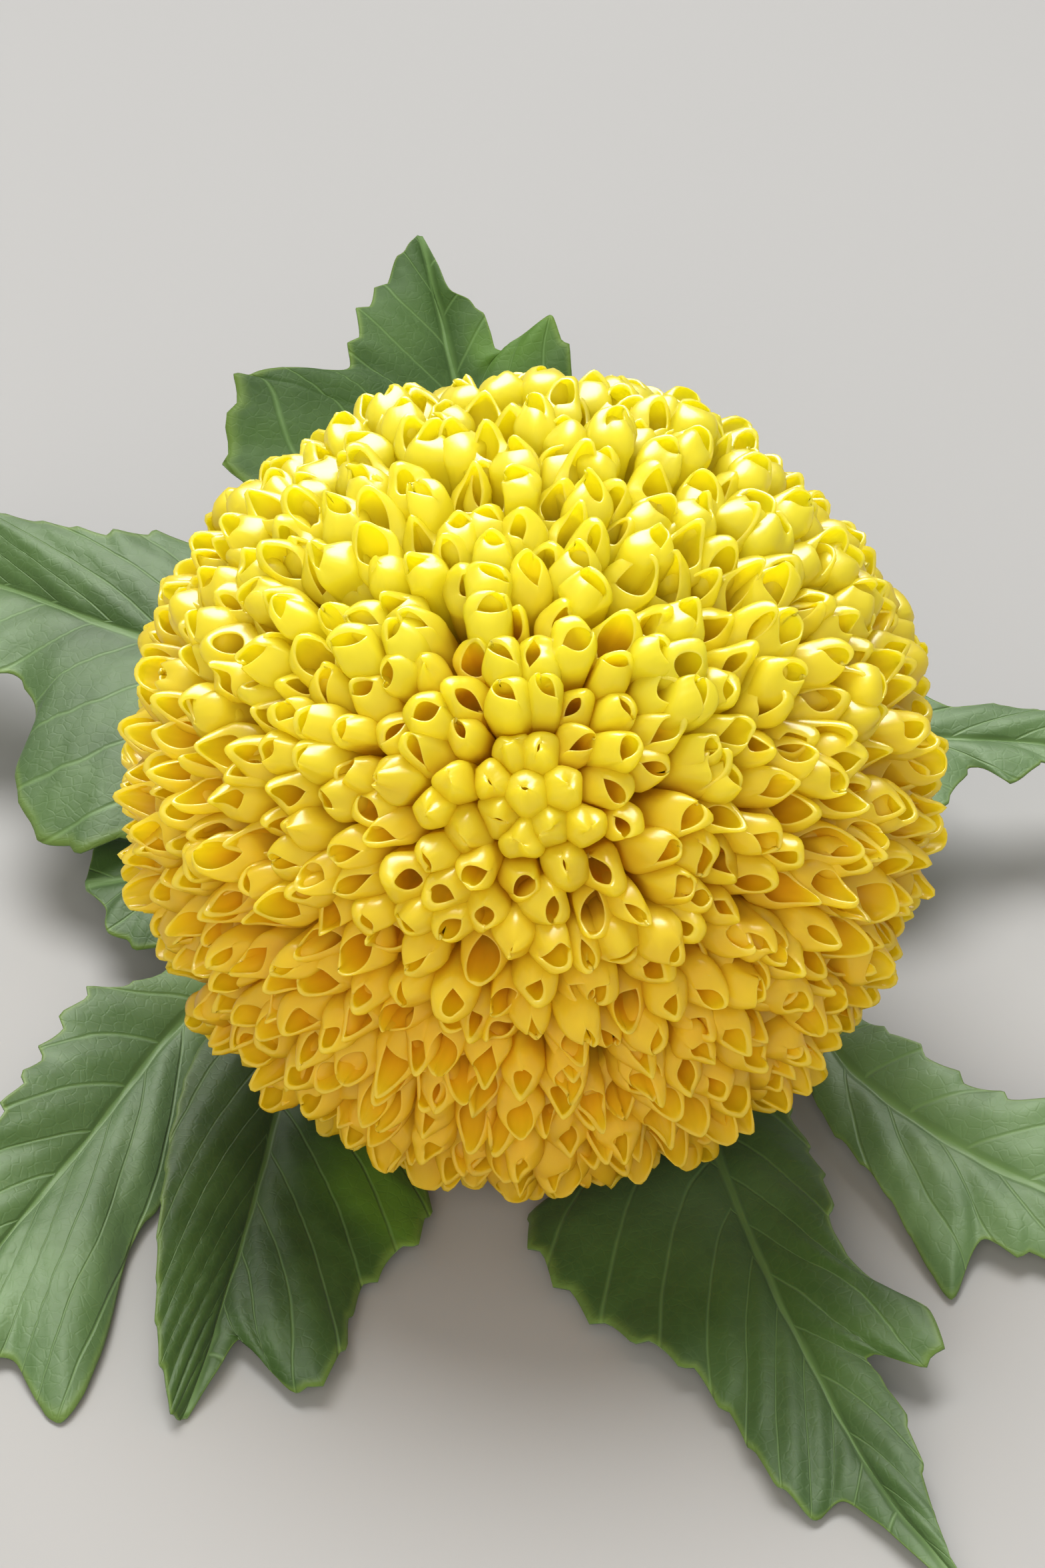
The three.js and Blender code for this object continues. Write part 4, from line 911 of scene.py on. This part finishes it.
def build_stem(material):
    sides = 32
    pts = np.array([CENTRE - AXIS * s for _, s in ROUTE] + [np.array(q, dtype=float) for q in ROUTE_ON])
    t = np.linspace(0, len(pts) - 1, 130) - 1e-6
    mid = spline(pts, t)
    arc = np.concatenate([[0], np.cumsum(np.linalg.norm(np.diff(mid, axis=0), axis=1))])
    share = arc / arc[-1]
    radius = 2.6 + 0.4 * share + 0.45 * np.exp(-share * 29)
    nodes_y = [40.2, 42, 44.2, 47, 50.2, 57, 58, 60]
    for y in nodes_y:
        radius = radius * (1 + 0.045 * np.exp(-((mid[:, 1] - y) / 1.3) ** 2))
    heart = [(-9.4, 1.9), (-8.2, 5.0), (-5.6, 7.8), (-2, 9.3), (2, 9.3), (5.2, 8.0), (7.4, 6.1), (8.4, 4.4)]
    centres = np.concatenate([[CENTRE - AXIS * s for s, _ in heart], mid])
    radii = np.concatenate([[r for _, r in heart], radius])
    dirs = np.concatenate([np.repeat(-AXIS[None], len(heart), 0), unit(np.gradient(mid, axis=0))])
    length = np.concatenate([[s - 9 for s, _ in heart], arc])
    across = unit(np.stack([dirs[:, 1], -dirs[:, 0], np.zeros(len(dirs))], 1))
    up = unit(np.cross(across, dirs))
    phi = np.linspace(0, 2 * np.pi, sides, endpoint=False)
    ribbed = np.clip(length / 6, 0, 1)[:, None]
    twist = length[:, None] * 0.012
    r = radii[:, None] * (1 + ribbed * (0.035 * np.cos(7 * phi[None] + twist * 7) + 0.012 * np.cos(14 * phi[None] + 1.0)))
    ring = centres[:, None] + r[..., None] * (np.cos(phi)[None, :, None] * across[:, None] + np.sin(phi)[None, :, None] * up[:, None])
    slant = 0.7 * np.clip((length - length[-1] + 6) / 6, 0, 1)
    ring = ring - dirs[:, None] * (slant[:, None] * radii[:, None] * (1 + np.sin(phi)[None]))[..., None]
    rows = [ring[i] for i in range(len(ring))]
    cut = [np.zeros(sides)] * len(rows)
    core = ring[-1].mean(0)
    for k in (0.965, 0.90, 0.72, 0.45, 0.18, 0.02):
        rows.append(core + (ring[-1] - core) * k + dirs[-1] * (0.10 if k < 0.95 else 0.04) * (1 - k * 0.5))
        cut.append(np.full(sides, 1.0 - k))
    rows = [core * 0 + (CENTRE + AXIS * 9.9)[None] + (rows[0] - rows[0].mean(0)) * 0.02] + rows
    cut = [np.zeros(sides)] + cut
    P = np.array(rows)
    P[..., 2] = np.maximum(P[..., 2], 0.02)
    along = np.concatenate([[length[0]], length, np.full(6, length[-1])])
    attrs = dict(run=np.repeat(along, sides), around=np.tile(phi / (2 * np.pi), len(P)), cut=np.array(cut).reshape(-1),
                 ridge=np.tile(np.cos(7 * phi), len(P)))
    add_green("ridged_stem", P.reshape(-1, 3), loft_faces(len(P), sides), material, attrs, "stem")


def stem_material():
    mat, nt, bsdf = new_material("stem_green")
    cut, ridge = attribute(nt, "cut"), attribute(nt, "ridge")
    skin = ramp(nt, noise(nt, 160.0, 4.0, stretch=(3.0, 0.35, 3.0)), [(0.3, (0.085, 0.175, 0.032)), (0.7, (0.150, 0.260, 0.055))])
    skin = mix_color(nt, smoothstep(nt, ridge, 0.2, 1.0), skin, (0.20, 0.315, 0.085))
    flecks = smoothstep(nt, noise(nt, 1500.0, 2.0, stretch=(1.0, 0.3, 1.0)), 0.62, 0.75)
    skin = mix_color(nt, math_node(nt, "MULTIPLY", flecks, 0.35), skin, (0.42, 0.50, 0.26))
    face = ramp(nt, cut, [(0.0, (0.16, 0.28, 0.07)), (0.06, (0.45, 0.56, 0.24)), (0.20, (0.50, 0.58, 0.30)), (0.45, (0.52, 0.57, 0.35)), (1.0, (0.58, 0.61, 0.42))], "LINEAR")
    on_cut = smoothstep(nt, cut, 0.0, 0.02)
    nt.links.new(mix_color(nt, on_cut, skin, face), bsdf.inputs["Base Color"])
    nt.links.new(math_node(nt, "ADD", math_node(nt, "MULTIPLY", noise(nt, 600.0, 2.0), 0.15), 0.54), bsdf.inputs["Roughness"])
    bsdf.inputs["Specular IOR Level"].default_value = 0.32
    bsdf.inputs["Sheen Weight"].default_value = 0.12
    bsdf.inputs["Sheen Roughness"].default_value = 0.5
    bump(nt, noise(nt, 800.0, 3.0, stretch=(1.0, 0.25, 1.0)), bsdf, 0.35, 0.0003)
    return mat


def bloom_point(r, polar, turn):
    d = (np.cos(polar)[..., None] * AXIS + (np.sin(polar) * np.cos(turn))[..., None] * ACROSS
         + (np.sin(polar) * np.sin(turn))[..., None] * UPWARD)
    down = np.minimum(d[..., 2], -1e-6)
    r = np.where(d[..., 2] < 0, np.minimum(r, (CENTRE[2] - 0.05) / -down), r)
    return CENTRE + d * r[..., None]


def build_bracts(material):
    shape = np.array([[11.2, 1.5, 22], [14, 2.3, 22.4], [18, 2.9, 22.9], [22, 2.7, 23.3], [25.5, 1.6, 23.7], [27.6, 0.3, 24]], dtype=float)
    rng = np.random.default_rng(7)
    for i in range(13):
        t = np.linspace(0, 5, 31) - 1e-6
        row = spline(shape, t)
        r, wide, opening = row[:, 0], row[:, 1], row[:, 2]
        w = np.array([-1, -0.93, -0.75, -0.5, -0.2, 0, 0.2, 0.5, 0.75, 0.93, 1.0])
        ring = r * np.sin(np.radians(opening))
        turn = 2 * np.pi * i / 13 + (wide / 2 / ring)[:, None] * w[None] * 1.12
        keel = 0.25 * (1 - np.abs(w))[None] + 0.05 * np.sin(t * 2 + rng.uniform(0, 6))[:, None]
        thick = 0.20 * (1 - 0.75 * np.abs(w[None]) ** 3) * (1 - 0.5 * smooth((r[:, None] - 22) / 5.6))
        faces_at = []
        for sign in (1, -1):
            polar = np.pi - np.radians(opening)[:, None] + (keel * 0.6 + sign * thick) / r[:, None]
            faces_at.append(bloom_point(np.broadcast_to(r[:, None], turn.shape), polar, turn))
        loop = np.concatenate([faces_at[0], faces_at[1][:, ::-1]], 1)
        edge = np.broadcast_to(np.abs(w)[None], turn.shape)
        attrs = dict(edge=np.concatenate([edge, edge[:, ::-1]], 1).reshape(-1),
                     run=np.repeat(t / 5, loop.shape[1]), tone=np.full(loop.shape[0] * loop.shape[1], rng.random()))
        add_green(f"bract_{i + 1:02d}", loop.reshape(-1, 3), loft_faces(len(t), loop.shape[1]), material, attrs,
                  f"involucre_bract_{i + 1:02d}")


def bract_material():
    mat, nt, bsdf = new_material("bract_green")
    edge, run, tone = attribute(nt, "edge"), attribute(nt, "run"), attribute(nt, "tone")
    green = ramp(nt, noise(nt, 300.0, 3.0), [(0.3, (0.085, 0.170, 0.045)), (0.7, (0.150, 0.260, 0.075))])
    green = mix_color(nt, math_node(nt, "MULTIPLY", tone, 0.3), green, (0.20, 0.30, 0.09))
    margin = math_node(nt, "MAXIMUM", smoothstep(nt, edge, 0.62, 0.95), smoothstep(nt, run, 0.82, 1.0))
    col = mix_color(nt, math_node(nt, "MULTIPLY", margin, 0.75), green, (0.50, 0.48, 0.28))
    nt.links.new(col, bsdf.inputs["Base Color"])
    nt.links.new(math_node(nt, "ADD", math_node(nt, "MULTIPLY", noise(nt, 900.0, 2.0), 0.2), 0.45), bsdf.inputs["Roughness"])
    bsdf.inputs["Sheen Weight"].default_value = 0.2
    bump(nt, noise(nt, 1500.0, 3.0), bsdf, 0.4, 0.0002)
    return mat


leaf_green = leaf_material("leaf_green", 1.0)
# a shaded copy of the leaf material, with less gloss and less painted sheen, so the upper leaf paints deep green
leaf_green_shaded_copy = leaf_material("leaf_green_shaded_copy", 0.25)  # the upper leaf, deep green
for number, (leaf_name, (stalk_rows, leaf_painted_sheen, leaf_rows)) in enumerate(LEAVES.items()):
    build_leaf(leaf_name, stalk_rows, leaf_painted_sheen, leaf_rows, 100 + number, leaf_green_shaded_copy if leaf_name == "leaf_top" else leaf_green)
build_stem(stem_material())
build_bracts(bract_material())



# ---------------------------------------------------------------- stage and light
def simple_floor():
    mat, nt, bsdf = new_material("floor_pale")
    col = ramp(nt, noise(nt, 3.0, 2.0), [(0.0, (0.32, 0.32, 0.32)), (1.0, (0.35, 0.35, 0.35))])
    nt.links.new(col, bsdf.inputs["Base Color"])
    bsdf.inputs["Roughness"].default_value = 0.9
    bsdf.inputs["Specular IOR Level"].default_value = 0.08
    me = bpy.data.meshes.new("floor")
    k = 3.0
    me.from_pydata([(-k, -k, -0.0002), (k, -k, -0.0002), (k, k, -0.0002), (-k, k, -0.0002)], [], [(0, 1, 2, 3)])
    me.materials.append(mat)
    ob = bpy.data.objects.new("floor", me)
    bpy.context.scene.collection.objects.link(ob)


def area_light(name, location, target, size, power, color=(1, 1, 1)):
    data = bpy.data.lights.new(name, "AREA")
    data.shape = "DISK"
    data.size = size
    data.energy = power
    data.color = color
    ob = bpy.data.objects.new(name, data)
    bpy.context.scene.collection.objects.link(ob)
    ob.location = location
    ob.rotation_euler = (Vector(target) - Vector(location)).to_track_quat("-Z", "Y").to_euler()
    return ob


simple_floor()
world = bpy.data.worlds.new("world")
world.use_nodes = True
world.node_tree.nodes["Background"].inputs["Color"].default_value = (1.0, 0.985, 0.96, 1.0)
world.node_tree.nodes["Background"].inputs["Strength"].default_value = 0.48
bpy.context.scene.world = world
middle = (SHIFT * MM)
area_light("key", (middle[0] - 0.06, middle[1] + 0.22, 0.74), (middle[0], middle[1], 0.03), 0.60, 7.7, (1.0, 0.985, 0.96))
fill = area_light("fill", (middle[0] - 0.1, middle[1] - 0.75, 0.42), (middle[0], middle[1], 0.03), 0.7, 5.6, (1.0, 0.92, 0.79))
fill.visible_glossy = False
window = area_light("window", (middle[0] - 0.04, middle[1] + 0.40, 0.64), (middle[0], middle[1], 0.04), 0.86, 28.0, (1.0, 0.995, 0.985))
window.visible_diffuse = False
window.visible_transmission = False

view = bpy.context.scene.view_settings
view.view_transform = "Standard"
view.look = "None"
view.exposure = 0.0
view.gamma = 1.0
